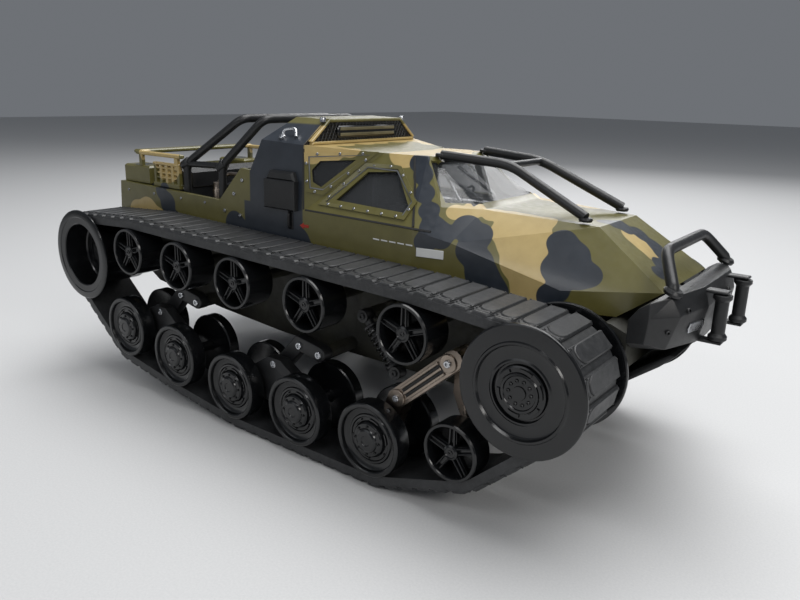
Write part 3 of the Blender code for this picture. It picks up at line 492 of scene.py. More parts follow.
def hull_line():
    """The taut line of the belt's inner face round every wheel."""
    circles = [(DRIVE, DRIVE_DRUM), (REAR, REAR_DRUM), (LEAD, LEAD_R)]
    circles += [(c, ROAD_R) for c in ROAD] + [(c, ROLLER_R) for c in ROLLERS]
    points = set()
    for (x, z), radius in circles:
        for k in range(120):
            turn = math.radians(3.0 * k)
            points.add((x + (radius + 0.0003) * math.cos(turn), z + (radius + 0.0003) * math.sin(turn)))
    points = sorted(points)
    halves = []
    for run in (points, points[::-1]):
        chain = []
        for p in run:
            while len(chain) > 1:
                a, b = chain[-2], chain[-1]
                if (b[0] - a[0]) * (p[1] - a[1]) - (b[1] - a[1]) * (p[0] - a[0]) > 0.0:
                    break
                chain.pop()
            chain.append(p)
        halves.append(chain[:-1])
    return halves[0] + halves[1]


class Loop:
    def __init__(self, points):
        self.points = points
        self.starts = [0.0]
        for a, b in zip(points, points[1:] + points[:1]):
            self.starts.append(self.starts[-1] + math.dist(a, b))
        self.length = self.starts[-1]

    def at(self, distance):
        distance %= self.length
        k = max(i for i, s in enumerate(self.starts[:-1]) if s <= distance)
        a, b = self.points[k], self.points[(k + 1) % len(self.points)]
        share = (distance - self.starts[k]) / (self.starts[k + 1] - self.starts[k])
        return Vector((a[0] + share * (b[0] - a[0]), a[1] + share * (b[1] - a[1])))

    def outward(self, distance, reach=0.0024):
        way = (self.at(distance + reach) - self.at(distance - reach)).normalized()
        return Vector((way.y, -way.x))


def pad_shape():
    """One rubber shoe: base with a notched outer end, a shield and a shoulder with a thin gap between, rivets."""
    pad = Shape()
    base = [(-0.0047, 0.0570), (0.0047, 0.0570), (0.0047, 0.0896), (0.0038, 0.0927), (-0.0038, 0.0927), (-0.0047,
        0.0896)]
    pad.prism(base, 0.0040, 0.0059, 0.0004)
    shield = [(-0.0044, 0.0574), (0.0044, 0.0574), (0.0044, 0.0828), (0.0038, 0.0852), (0.0026, 0.0868), (0.0010,
        0.0875)]
    shield += [(-x, y) for x, y in shield[:1:-1]]
    pad.prism(shield, 0.0057, 0.0066, 0.0004)
    arc = [(0.0044, 0.0842), (0.0042, 0.0860), (0.0030, 0.0876), (0.0011, 0.0884)]
    for k in range(3):
        (a, b), (c, d) = arc[k], arc[k + 1]
        for way in (-1.0, 1.0):
            wedge = [(a * way, b), (a * way if k else 0.0044 * way, 0.0900), (c * way, 0.0900), (c * way, d)]
            pad.prism(wedge, 0.0057, 0.0064, 0.0)
    rim = [(-0.0044, 0.0899), (0.0044, 0.0899), (0.0032, 0.0926), (-0.0032, 0.0926)]
    pad.prism(rim, 0.0057, 0.0064, 0.0005)
    pad.prism([(-0.0011, 0.0884), (0.0011, 0.0884), (0.0011, 0.0902), (-0.0011, 0.0902)], 0.0057, 0.0064, 0.0)
    for x in (-0.0037, 0.0037):
        for y in (0.0584, 0.0887):
            pad.lathe([(0.0005, 0.0062), (0.0005, 0.0067), (0.0003, 0.0069), (0.0, 0.0069)], 8,
                      Matrix.Translation((x, y, 0.0)))
    return pad


def track(word, side):
    loop = Loop(hull_line())
    count = round(loop.length / 0.0105)
    pitch = loop.length / count
    made = Shape()
    steps = count * 4
    lines = [(0.0569, 0.0), (0.0930, 0.0), (0.0930, 0.0044), (0.0923, 0.0051), (0.0576, 0.0051), (0.0569, 0.0044)]
    points = []
    for k in range(steps):
        here, out = loop.at(k * pitch / 4), loop.outward(k * pitch / 4)
        for v, h in lines:
            spot = here + out * h
            points.append((spot.x, side * v, spot.y))
    size = len(lines)
    faces = []
    for k in range(steps):
        n = (k + 1) % steps
        for j in range(size):
            m = (j + 1) % size
            faces.append((k * size + j, k * size + m, n * size + m, n * size + j))
    made.add(points, faces)
    pad = pad_shape()
    for k in range(count):
        middle = (k + 0.5) * pitch
        here, out = loop.at(middle), loop.outward(middle, 0.0035)
        columns = (Vector((-out.y, 0.0, out.x)), Vector((0.0, side, 0.0)), Vector((out.x, 0.0, out.y)))
        place = Matrix(columns).transposed().to_4x4()
        place.translation = Vector((here.x, 0.0, here.y))
        made.add(pad.points, pad.faces, place)
    made.piece(f"track_{word}_shoes", RUBBER, "root", "track_rubber", f"track_{word}")


def circle_bolts(shape, place, count, radius, along, size, height, start=0.0):
    for k in range(count):
        turn = start + 2.0 * math.pi * k / count
        spot = place @ Vector((radius * math.cos(turn), radius * math.sin(turn), along))
        shape.bolt(spot, place.to_3x3() @ Vector((0.0, 0.0, 1.0)), size, height)


def slots(shape, place, count, inner, outer, along, height, share=0.55):
    """Raised arc pads between two radii."""
    for k in range(count):
        outline = []
        for j in range(7):
            turn = 2.0 * math.pi * (k + share * j / 6.0) / count
            outline.append((outer * math.cos(turn), outer * math.sin(turn)))
        for j in range(7):
            turn = 2.0 * math.pi * (k + share * (6 - j) / 6.0) / count
            outline.append((inner * math.cos(turn), inner * math.sin(turn)))
        shape.prism(outline, along - 0.0004, along + height, 0.0, place)


def drive_wheel(word, side):
    made = Shape()
    place = wheel_place(DRIVE, side)
    r = DRIVE_DISC
    profile = [(0.0, 0.0425), (0.0030, 0.0425), (0.0030, 0.0512), (0.0290, 0.0512), (r, 0.0516), (r, 0.0527), (0.0296,
        0.0530)]
    profile += [(0.0226, 0.0532), (DRIVE_DRUM, 0.0538), (DRIVE_DRUM, 0.0928), (0.0222, 0.0936), (0.0292, 0.0936)]
    profile += [(0.0299, 0.0939), (r, 0.0944), (r, 0.0950), (0.0300, 0.0954), (0.0294, 0.0957), (0.0240, 0.0960)]
    profile += [(0.0228, 0.0960), (0.0222, 0.0967), (0.0213, 0.0967), (0.0206, 0.0955), (0.0196, 0.0951)]
    profile += [(0.0150, 0.0951), (0.0142, 0.0955), (0.0135, 0.0955), (0.0131, 0.0938), (0.0123, 0.0938), (0.0119,
        0.0952)]
    profile += [(0.0112, 0.0955), (0.0092, 0.0955), (0.0088, 0.0961), (0.0078, 0.0963), (0.0074, 0.0957), (0.0032,
        0.0957)]
    profile += [(0.0030, 0.0963), (0.0, 0.0964)]
    made.lathe(profile, 72, place)
    slots(made, place, 6, 0.0095, 0.0109, 0.0955, 0.0007)
    circle_bolts(made, place, 10, 0.0054, 0.0957, 0.0009, 0.0006)
    for k in range(18):
        turn = 2.0 * math.pi * k / 18
        tooth = Matrix.Rotation(turn, 4, "Z") @ Matrix.Translation((DRIVE_DRUM - 0.0004, 0.0, 0.0))
        made.bar((0.0, -0.0012, 0.0545), (0.0007, 0.0012, 0.0920), 0.0002, place @ tooth)
    made.piece(f"drive_wheel_{word}_disc", GLOSS, f"drive_wheel_{word}", "gloss_black", f"drive_wheel_{word}",
               angle=22.0)


def rear_wheel(word, side):
    made = Shape()
    place = wheel_place(REAR, side)
    r = REAR_DISC
    profile = [(0.0, 0.0575), (0.0205, 0.0575), (REAR_DRUM, 0.0580), (REAR_DRUM, 0.0928), (0.0226, 0.0936), (0.0296,
        0.0936)]
    profile += [(r, 0.0941), (r, 0.0950), (0.0302, 0.0955), (0.0296, 0.0957), (0.0262, 0.0957), (0.0256, 0.0953)]
    profile += [(0.0216, 0.0951), (0.0210, 0.0946), (0.0204, 0.0800), (0.0196, 0.0792), (0.0150, 0.0790), (0.0146,
        0.0800)]
    profile += [(0.0132, 0.0800), (0.0128, 0.0790), (0.0084, 0.0790), (0.0078, 0.0812), (0.0068, 0.0824), (0.0, 0.0824)]
    made.lathe(profile, 72, place)
    circle_bolts(made, place, 8, 0.0108, 0.0790, 0.0011, 0.0008)
    circle_bolts(made, place, 5, 0.0044, 0.0824, 0.0008, 0.0006)
    made.piece(f"rear_wheel_{word}_disc", GLOSS, f"rear_wheel_{word}", "gloss_black", f"rear_wheel_{word}", angle=22.0)


def road_wheel(word, side, number, centre):
    made = Shape()
    place = wheel_place(centre, side)
    r = ROAD_R
    profile = [(0.0, 0.0588), (0.0192, 0.0588), (r, 0.0594), (r, 0.0656), (0.0192, 0.0662), (0.0040, 0.0662), (0.0030,
        0.0668)]
    profile += [(0.0030, 0.0848), (0.0040, 0.0856), (0.0190, 0.0856), (0.0197, 0.0859), (r, 0.0864), (r, 0.0946)]
    profile += [(0.0197, 0.0952), (0.0191, 0.0956), (0.0176, 0.0957), (0.0171, 0.0953), (0.0166, 0.0936), (0.0152,
        0.0928)]
    profile += [(0.0136, 0.0925), (0.0130, 0.0931), (0.0120, 0.0932), (0.0115, 0.0926), (0.0098, 0.0926), (0.0093,
        0.0942)]
    profile += [(0.0086, 0.0950), (0.0066, 0.0953), (0.0062, 0.0960), (0.0052, 0.0965), (0.0028, 0.0966), (0.0024,
        0.0962)]
    profile += [(0.0, 0.0962)]
    made.lathe(profile, 56, place)
    circle_bolts(made, place, 8, 0.0075, 0.0951, 0.0007, 0.0007)
    slots(made, place, 6, 0.0103, 0.0111, 0.0926, 0.0008, 0.5)
    body = f"road_wheel_{word}_{number}"
    made.piece(f"{body}_disc", GLOSS, body, "gloss_black", body, angle=22.0)


def spoked(shape, place, r, hub, inner, axle):
    """Deep barrel, five ribbed spokes and a round hub."""
    rim = r - 0.0019
    barrel = [(r, inner), (r, OUT - 0.0008), (r - 0.0004, OUT), (rim + 0.0003, OUT), (rim, OUT - 0.0005)]
    barrel += [(rim - 0.0003, OUT - 0.0040), (rim - 0.0010, inner + 0.0004), (rim - 0.0006, inner)]
    shape.ring(barrel, 56, place)
    core = [(0.0, axle), (hub * 0.8, axle), (hub * 0.8, OUT - 0.0062), (hub, OUT - 0.0058), (hub, OUT - 0.0022)]
    core += [(hub * 0.92, OUT - 0.0012), (hub * 0.70, OUT - 0.0007), (hub * 0.62, OUT - 0.0011), (0.0, OUT - 0.0010)]
    shape.lathe(core, 36, place)
    for k in range(5):
        turned = place @ Matrix.Rotation(2.0 * math.pi * (k + 0.25) / 5.0, 4, "Z")
        web = [(hub * 0.7, -0.0020), (rim + 0.0004, -0.0015), (rim + 0.0004, 0.0015), (hub * 0.7, 0.0020)]
        shape.prism(web, OUT - 0.0058, OUT - 0.0030, 0.0003, turned)
        for y in (-0.0011, 0.0011):
            rib = [(hub * 0.8, y * 1.2 - 0.0004), (rim + 0.0002, y - 0.0004), (rim + 0.0002, y + 0.0004),
                   (hub * 0.8, y * 1.2 + 0.0004)]
            shape.prism(rib, OUT - 0.0032, OUT - 0.0016, 0.0003, turned)


def roller(word, side, number, centre):
    made = Shape()
    place = wheel_place(centre, side)
    spoked(made, place, ROLLER_R, 0.0042, 0.0778, 0.0782)
    plate = [(0.0, 0.0778), (ROLLER_R - 0.0012, 0.0778), (ROLLER_R - 0.0012, 0.0784), (0.0, 0.0784)]
    made.lathe(plate, 56, place)
    made.bolt(place @ Vector((0.0, 0.0, OUT - 0.0012)), (0.0, side, 0.0), 0.0013, 0.0006)
    body = f"return_roller_{word}_{number}"
    made.piece(f"{body}_spider", GLOSS, body, "gloss_black", body, angle=26.0)


def lead_wheel(word, side):
    made = Shape()
    place = wheel_place(LEAD, side)
    spoked(made, place, LEAD_R, 0.0040, 0.0834, 0.0835)
    made.lathe([(0.0, 0.0834), (LEAD_R - 0.0012, 0.0834), (LEAD_R - 0.0012, 0.0840), (0.0, 0.0840)], 56, place)
    made.lathe([(0.0, 0.0676), (0.0030, 0.0676), (0.0030, 0.0836), (0.0, 0.0836)], 20, place)
    made.bolt(place @ Vector((0.0, 0.0, OUT - 0.0012)), (0.0, side, 0.0), 0.0013, 0.0006)
    body = f"lead_wheel_{word}"
    made.piece(f"{body}_spider", GLOSS, body, "gloss_black", body, angle=26.0)


def arms(word, side):
    for key, (px, pz) in {"rear": (-0.0704, 0.0645), "mid": (0.0360, 0.0550)}.items():
        name = f"swing_arm_{word}_{key}"
        refine(name, BLACK, 0.0006, 2, name)
        made = Shape()
        for x, z in ((px, pz), (px - 0.0150, pz + 0.0020)):
            made.bolt((x, side * 0.0765, z), (0.0, side, 0.0), 0.0022, 0.0012)
        made.piece(f"{name}_pins", STEEL, name, "damper_steel")
        name = f"bogie_{word}_{key}"
        refine(name, BLACK, 0.0005, 2, name)
        made = Shape()
        tip = (px - 0.0288, pz - 0.0105)
        made.bolt((tip[0], side * 0.0838, tip[1]), (0.0, side, 0.0), 0.0022, 0.0008)
        made.piece(f"{name}_pin", STEEL, name, "damper_steel")
    name = f"swing_arm_{word}_front"
    refine(name, BRONZE, 0.0009, 3, name)
    made = Shape()
    for x, z, y in ((0.1262, 0.0750, 0.0843), (0.0965, 0.0492, 0.0843), (0.0920, 0.0392, 0.0832)):
        made.bolt((x, side * y, z), (0.0, side, 0.0), 0.0019, 0.0012)
    made.piece(f"{name}_screws", STEEL, name, "damper_steel")
    # The near-black strips under the gaps between the front arm's ribs are painted shade in the grooves.
    made, groove_shade = Shape(), Shape()
    start, end = Vector((0.1222, 0.0716)), Vector((0.1006, 0.0526))
    way = (end - start).normalized()
    across = Vector((-way.y, way.x))
    flat = Matrix(((1.0, 0.0, 0.0), (0.0, 0.0, side), (0.0, 1.0, 0.0))).to_4x4()
    for shift, half, into, low, high in ((-0.0030, 0.0007, made, 0.0828, 0.0842), (0.0, 0.0007, made, 0.0828, 0.0842),
                                         (0.0030, 0.0007, made, 0.0828, 0.0842), (-0.0015, 0.0008, groove_shade, 0.0826,
                                             0.0834),
                                         (0.0015, 0.0008, groove_shade, 0.0826, 0.0834)):
        a, b = start + across * shift, end + across * shift
        line = [a + across * half, b + across * half, b - across * half, a - across * half]
        into.prism([tuple(p) for p in line], low, high, 0.0002, flat)
    for x, z in ((0.1262, 0.0750), (0.0965, 0.0492)):
        made.lathe([(0.0, 0.0828), (0.0044, 0.0828), (0.0046, 0.0832), (0.0046, 0.0840), (0.0043, 0.0843), (0.0,
            0.0843)], 28,
                   wheel_place((x, z), side))
    groove_shade.piece(f"{name}_groove_shade", SEAM_AND_GROOVE_SHADE, name, "black_plastic")
    made.piece(f"{name}_ribs", BRONZE, name, "bronze_metal")
    name = f"lead_arm_{word}"
    refine(name, BRONZE, 0.0006, 2, name)


def damper(word, side):
    """Coil-over unit: eyes, damper tube with two collars and a wound spring."""
    top, foot = Vector((0.0660, side * 0.0722, 0.0835)), Vector((0.0880, side * 0.0722, 0.0575))
    way = (foot - top).normalized()
    length = (foot - top).length
    made = Shape()
    place = aim(top, way)
    made.lathe([(0.0, 0.0), (0.0022, 0.0), (0.0024, 0.0006), (0.0024, length - 0.0006), (0.0022, length), (0.0,
        length)], 20, place)
    for share in (0.17, 0.86):
        at = length * share
        made.lathe([(0.0, at), (0.0043, at), (0.0046, at + 0.0004), (0.0046, at + 0.0014), (0.0, at + 0.0014)], 28,
                   place)
    made.piece(f"shock_absorber_{word}_tube", BLACK, "root", "damper_steel", f"shock_absorber_{word}")
    ends = Shape()
    for spot in (top, foot):
        ends.lathe([(0.0, -0.0030), (0.0034, -0.0030), (0.0036, -0.0026), (0.0036, 0.0026), (0.0034, 0.0030), (0.0,
            0.0030)], 24,
                   aim(spot, (0.0, side, 0.0)))
        ends.bolt(spot + Vector((0.0, side * 0.0030, 0.0)), (0.0, side, 0.0), 0.0018, 0.0010)
    ends.piece(f"shock_absorber_{word}_eyes", BLACK, "root", "damper_steel")
    coil = Shape()
    turns, points = 7.0, []
    for k in range(int(turns * 16) + 1):
        t = k / (turns * 16)
        turn = 2.0 * math.pi * turns * t
        points.append(place @ Vector((0.0037 * math.cos(turn), 0.0037 * math.sin(turn), length * (0.22 + 0.62 * t))))
    coil.tube(points, 0.00065, 8)
    coil.piece(f"shock_absorber_{word}_spring", GLOSS, "root", "damper_steel")


for word, side in SIDES.items():
    track(word, side)
    drive_wheel(word, side)
    rear_wheel(word, side)
    for number, centre in enumerate(ROAD, 1):
        road_wheel(word, side, number, centre)
    for number, centre in enumerate(ROLLERS, 1):
        roller(word, side, number, centre)
    lead_wheel(word, side)
    arms(word, side)
    damper(word, side)


# ---------------------------------------------------------------- hull, shell and glazing
def pillar_tool(side):
    """Clears the skin over the bend between a quarter pane and the windscreen, where the sheet runs on."""
    top, foot = Vector((0.0734, side * 0.0228, 0.1634)), Vector((0.1095, side * 0.0312, 0.1396))
    start, end = top.lerp(foot, 0.11), top.lerp(foot, 0.90)
    made = Shape()
    made.bar((-0.0040, -0.0032, 0.0), (0.0040, 0.0032, (end - start).length), 0.0, aim(start,
        (end - start).normalized()))
    mesh = bpy.data.meshes.new("pillar_tool")
    mesh.from_pydata([p + Vector((FX, 0.0, 0.0)) for p in made.points], [], made.faces)
    tool = bpy.data.objects.new("pillar_tool", mesh)
    bpy.context.scene.collection.objects.link(tool)
    return tool


refine("lower_hull", HULL_SHADED, 0.0005, 2)
shell = refine("body_shell", CAMO, 0.00045, 2, angle=9.0,
               carve=[pillar_tool(s) for s in SIDES.values()], crease=9.0)
refine("front_bumper", BLACK, 0.0004, 2, angle=12.0, crease=12.0)


def paint_cab_inside_shade(piece):
    """Faces of the cab's cavity take a near-black material: painted shade over the inside walls, which are painted like
    the rest of the shell.
    """
    mesh = piece.data
    mesh.materials.append(CAB_INSIDE_SHADE)
    from_tree = BVHTree.FromObject(piece, bpy.context.evaluated_depsgraph_get())
    for face in mesh.polygons:
        x, y, z = face.center
        if not -0.040 < x - FX < 0.118 or z < 0.118:
            continue
        hit = from_tree.ray_cast(face.center + face.normal * 0.0004, face.normal)
        if hit[0] is not None and hit[3] > 0.004:
            face.material_index = 1


paint_cab_inside_shade(shell)
refine("skid_plate", BLACK, 0.0006, 2)
for node in ("windscreen", "side_window_right", "side_window_left"):
    keep(node, CLEAR)
keep("radio_box", BLACK)
keep("battery_pack", SLEEVE)
keep("drive_unit_right", MOTOR)
keep("drive_unit_left", MOTOR)


def on_side(x, z, proud=0.0):
    """A point on the cab's side skin at (x, z), lifted off it by proud."""
    door = 0.0545 - 0.719 * (z - 0.1291)
    flare = 0.0545 - 0.566 * (x - 0.0034) - 0.068 * (z - 0.1291)
    if max(door, flare) == door:
        way = Vector((0.0, 1.0, 0.719)).normalized()
        return Vector((x, door, z)) + way * proud, way
    way = Vector((0.566, 1.0, 0.068)).normalized()
    return Vector((x, flare, z)) + way * proud, way


def strip_on(shape, route, width, low, high, side, closed=False, surface=on_side):
    """A flat band along a line on the cab's side."""
    count = len(route)
    spots = [surface(x, z) for x, z in route]
    points = []
    for k, (spot, way) in enumerate(spots):
        before = spots[k - 1][0] if closed or k else spots[k][0] * 2 - spots[k + 1][0]
        after = spots[(k + 1) % count][0] if closed or k < count - 1 else spots[k][0] * 2 - spots[k - 1][0]
        first, second = (spot - before).normalized(), (after - spot).normalized()
        along = (first + second).normalized()
        across = way.cross(along).normalized()
        across /= max(0.45, abs(along.dot(first)))
        for shift, lift in ((-0.5, low), (-0.5, high), (0.5, high), (0.5, low)):
            p = spot + across * width * shift + way * lift
            points.append((p.x, side * p.y, p.z))
    faces = []
    for k in range(count if closed else count - 1):
        n = (k + 1) % count
        for j in range(4):
            m = (j + 1) % 4
            faces.append((k * 4 + j, k * 4 + m, n * 4 + m, n * 4 + j))
    if not closed:
        faces += [(3, 2, 1, 0), tuple(range(4 * count - 4, 4 * count))]
    shape.add(points, faces)


REAR_FRAME = ((0.0028, 0.1622), (0.0396, 0.1637), (0.0128, 0.1381), (0.0041, 0.1399))
FRONT_FRAME = ((0.0330, 0.1573), (0.0585, 0.1582), (0.0782, 0.1409), (0.0753, 0.1324), (0.0135, 0.1338))


def drawn_in(route, by):
    middle = Vector((sum(p[0] for p in route), sum(p[1] for p in route))) / len(route)
    moved = []
    for p in route:
        way = middle - Vector(p)
        moved.append(tuple(Vector(p) + way.normalized() * min(by, way.length * 0.4)))
    return moved


def cab_side(word, side):
    frames, bolts, seams = Shape(), Shape(), Shape()
    for outline in (REAR_FRAME, FRONT_FRAME):
        middle = drawn_in(outline, 0.0017)
        strip_on(frames, middle, 0.0023, -0.0008, 0.0006, side, True)
        count = len(middle)
        for k in range(count):
            a, b = Vector(middle[k]), Vector(middle[(k + 1) % count])
            parts = max(1, round((b - a).length / 0.0105))
            for j in range(parts):
                spot, way = on_side(*(a + (b - a) * (j + 0.5) / parts), 0.0006)
                bolts.bolt((spot.x, side * spot.y, spot.z), (way.x, side * way.y, way.z), 0.0008, 0.0006)
    rims = Shape()
    for outline in (REAR_FRAME, FRONT_FRAME):
        strip_on(rims, drawn_in(outline, 0.0036), 0.0007, -0.0010, 0.0002, side, True)
    rims.piece(f"window_rims_{word}", MOTOR, "root", "damper_steel")
    frames.piece(f"window_frames_{word}", CAMO, "root", "camo_paint")
    bolts.piece(f"window_frame_screws_{word}", STEEL, "root", "damper_steel")
    strip_on(seams, [(0.0046, 0.1297), (0.0500, 0.1294), (0.0930, 0.1290)], 0.0010, -0.0006, 0.00015, side)
    strip_on(seams, [(0.0036, 0.1300), (0.0030, 0.1450), (0.0026, 0.1640)], 0.0010, -0.0006, 0.00015, side)
    strip_on(seams, [(0.0815, 0.1300), (0.0720, 0.1490), (0.0640, 0.1625)], 0.0010, -0.0006, 0.00015, side)
    seams.piece(f"door_seams_{word}", SEAM_AND_GROOVE_SHADE, "root", "black_plastic")
    flat = Matrix(((1.0, 0.0, 0.0), (0.0, 0.0, side), (0.0, 1.0, 0.0))).to_4x4()
    marks = Shape()
    for k in range(5):
        x = 0.0557 + 0.0055 * k
        marks.prism([(x, 0.1199), (x + 0.0042, 0.1198), (x + 0.0042, 0.1205), (x, 0.1206)], 0.0540, 0.0547, 0.0001,
                    flat)
    marks.piece(f"side_dashes_{word}", WHITE, "root", "camo_paint")
    plate = Shape()
    turned = Matrix.Rotation(-0.19 * side, 4, "Z")
    plate.prism([(0.0843, 0.1150), (0.0995, 0.1150), (0.0995, 0.1195), (0.0843, 0.1195)], 0.0, 0.0004, 0.0001,
                Matrix.Translation((0.0, side * 0.0541, 0.0)) @ Matrix.Translation((0.0843, 0.0, 0.0)) @ turned
                @ Matrix.Translation((-0.0843, 0.0, 0.0)) @ flat)
    plate.piece(f"side_plate_{word}", WHITE, "root", "camo_paint")
    mark = Shape()
    mark.prism([(0.0010, 0.1205), (0.0038, 0.1222), (0.0038, 0.1213), (0.0078, 0.1213), (0.0078, 0.1197), (0.0038,
        0.1197),
                (0.0038, 0.1188)], 0.0540, 0.0548, 0.0, flat)
    mark.piece(f"side_arrow_{word}", RED, "root", "camo_paint")
    box = Shape()
    box.prism([(-0.0258, 0.1285), (-0.0006, 0.1285), (-0.0006, 0.1455), (-0.0258, 0.1455)], 0.0530, 0.0582, 0.0008,
              flat)
    box.prism([(-0.0256, 0.1450), (-0.0008, 0.1450), (-0.0034, 0.1505), (-0.0222, 0.1505)], 0.0530, 0.0570, 0.0012,
              flat)
    box.piece(f"side_intake_{word}", BLACK, "root", "black_plastic")
    latch = Shape()
    latch.tube([(-0.0068, side * 0.0538, 0.1180), (-0.0068, side * 0.0562, 0.1188), (-0.0068, side * 0.0562, 0.1262),
                (-0.0068, side * 0.0538, 0.1270)], 0.0009, 10, 0.0016)
    latch.prism([(-0.0088, 0.1172), (-0.0046, 0.1172), (-0.0046, 0.1278), (-0.0088, 0.1278)], 0.0538, 0.0550, 0.0004,
                flat)
    latch.piece(f"door_handle_{word}", BLACK, "root", "black_plastic")
    hook = Shape()
    hook.tube([(-0.0170, side * 0.0500, 0.1690), (-0.0170, side * 0.0485, 0.1735), (-0.0090, side * 0.0470, 0.1745),
               (-0.0070, side * 0.0490, 0.1700)], 0.0010, 12, 0.003)
    hook.bolt((-0.0170, side * 0.0500, 0.1695), (0.0, side * 0.6, 0.8), 0.0020, 0.0010)
    hook.bolt((0.0030, side * 0.0372, 0.1790), (0.0, 0.0, 1.0), 0.0018, 0.0022)
    hook.piece(f"roof_hook_{word}", STEEL, "root", "damper_steel")
    plates = Shape()
    for x, z in ((-0.0655, 0.1215), (-0.0510, 0.1200), (-0.0480, 0.1420), (-0.0560, 0.1330)):
        plates.bolt((x, side * 0.0545, z), (0.0, side, 0.0), 0.0012, 0.0008)
    for x in (-0.1700, -0.1400, -0.1100, -0.0850):
        plates.bolt((x, side * 0.0545, 0.1245), (0.0, side, 0.0), 0.0009, 0.0006)
    plates.piece(f"side_bolts_{word}", STEEL, "root", "damper_steel")


for word, side in SIDES.items():
    cab_side(word, side)


# ---------------------------------------------------------------- tubes and front end
def cage():
    made, feet = Shape(), Shape()
    foot = 0.1148
    knees = {"rear": (-0.1120, 0.0470, 0.1466), "front": (-0.0758, 0.0470, 0.1478)}
    tops = {"rear": (-0.0625, 0.0410, 0.1778), "front": (-0.0425, 0.0410, 0.1782)}
    for key, (x, y, z) in knees.items():
        top = tops[key]
        half = [(x - 0.0005, y, foot), (x, y, z), top]
        made.tube(half + [(p[0], -p[1], p[2]) for p in half[::-1]], 0.0026, 18, 0.0065)
        for side in SIDES.values():
            feet.prism([(-0.0052, -0.0032), (0.0052, -0.0032), (0.0052, 0.0032), (-0.0052, 0.0032)], 0.0, 0.0014,
                       0.0004,
                       Matrix.Translation((x - 0.0005, side * 0.0468, foot)))
    for side in SIDES.values():
        made.tube([(-0.1120, side * 0.0470, 0.1466), (-0.0758, side * 0.0470, 0.1478)], 0.0021, 14)
        for knee, top in zip(knees.values(), tops.values()):
            way = (Vector(top) - Vector(knee)).normalized() * Vector((1, side, 1))
            feet.lathe([(0.0, -0.0033), (0.0031, -0.0033), (0.0034, -0.0028), (0.0034, 0.0028), (0.0031, 0.0033),
                        (0.0, 0.0033)], 18, aim((knee[0], side * knee[1], knee[2]), way))
    made.piece("roll_cage_tubes", BLACK, "root", "black_plastic", "roll_cage")
    feet.piece("roll_cage_clamps", BLACK, "root", "black_plastic")


def guard():
    made, feet = Shape(), Shape()
    for side in SIDES.values():
        made.tube([(0.0765, side * 0.0226, 0.1643), (0.1155, side * 0.0177, 0.1618), (0.1612, side * 0.0233, 0.1408)],
                  0.0025, 18, 0.008)
        feet.lathe([(0.0, -0.0012), (0.0031, -0.0010), (0.0034, 0.0), (0.0031, 0.0008), (0.0, 0.0012)], 20,
                   aim((0.0762, side * 0.0226, 0.1643), (0.0, 0.0, 1.0)))
        feet.lathe([(0.0, -0.0012), (0.0031, -0.0010), (0.0034, 0.0), (0.0031, 0.0008), (0.0, 0.0012)], 20,
                   aim((0.1612, side * 0.0233, 0.1398), (0.0, 0.0, 1.0)))
    made.tube([(0.1150, -0.0177, 0.1615), (0.1150, 0.0177, 0.1615)], 0.0018, 14)
    made.piece("windscreen_guard_tubes", BLACK, "root", "black_plastic", "windscreen_guard")
    feet.piece("windscreen_guard_feet", BLACK, "root", "black_plastic")


def bull_bar():
    made = Shape()
    half = [(0.2112, 0.0420, 0.1164), (0.2108, 0.0415, 0.1190), (0.2023, 0.0286, 0.1317)]
    made.tube(half + [(p[0], -p[1], p[2]) for p in half[::-1]], 0.0027, 18, 0.006)
    for side in SIDES.values():
        made.lathe([(0.0, -0.0006), (0.0040, -0.0004), (0.0044, 0.0010), (0.0036, 0.0022), (0.0, 0.0024)], 20,
                   aim((0.2112, side * 0.0420, 0.1164), (0.35, 0.0, 1.0)))
    made.piece("bull_bar_tube", BLACK, "root", "black_plastic", "bull_bar")


def front_details():
    mesh = NODES["front_bumper"].data
    bumper = BVHTree.FromPolygons([v.co for v in mesh.vertices], [f.vertices for f in mesh.polygons])

    def on_bumper(y, z):
        spot, way = bumper.ray_cast(Vector((0.30, y, z)), Vector((-1.0, 0.0, 0.0)))[:2]
        return spot - Vector((FX, 0.0, 0.0)), way

    lugs = Shape()
    for side in SIDES.values():
        for y, z, radius in ((0.0380, 0.1090, 0.0014), (0.0455, 0.1000, 0.0012), (0.0100, 0.1100, 0.0012)):
            lugs.bolt(*on_bumper(side * y, z), radius, 0.0010)
        for z in (0.0912, 0.1143):
            lugs.bar((0.2120, side * 0.0182 - 0.0030, z), (0.2288, side * 0.0182 + 0.0030, z + 0.0014), 0.0004)
        lugs.tube([(0.2262, side * 0.0182, 0.0915), (0.2262, side * 0.0182, 0.1155)], 0.0011, 10)
    lugs.piece("fairlead_brackets", BLACK, "root", "black_plastic")
    badge = Shape()
    spot, way = on_bumper(-0.0290, 0.1005)
    level = Vector((0.0, 0.0, 1.0)).cross(way).normalized()
    turned = Matrix((level, way.cross(level), way)).transposed().to_4x4()
    turned.translation = spot
    badge.prism([(-0.0056, -0.0024), (0.0056, -0.0024), (0.0064, 0.0), (0.0056, 0.0024), (-0.0056, 0.0024), (-0.0064,
        0.0)],
                -0.0006, 0.0008, 0.0003, turned)
    badge.piece("bumper_badge", STEEL, "root", "damper_steel")
    for word, side in SIDES.items():
        made = Shape()
        profile = [(0.0, 0.0930), (0.0038, 0.0930), (0.0041, 0.0934), (0.0041, 0.0948), (0.0030, 0.0962), (0.0030,
            0.1108)]
        profile += [(0.0041, 0.1122), (0.0041, 0.1136), (0.0038, 0.1140), (0.0, 0.1140)]
        made.lathe(profile, 28, Matrix.Translation((0.2262, side * 0.0182, 0.0)))
        made.piece(f"fairlead_roller_{word}_barrel", BLACK, f"fairlead_roller_{word}", "black_plastic",
                   f"fairlead_roller_{word}")


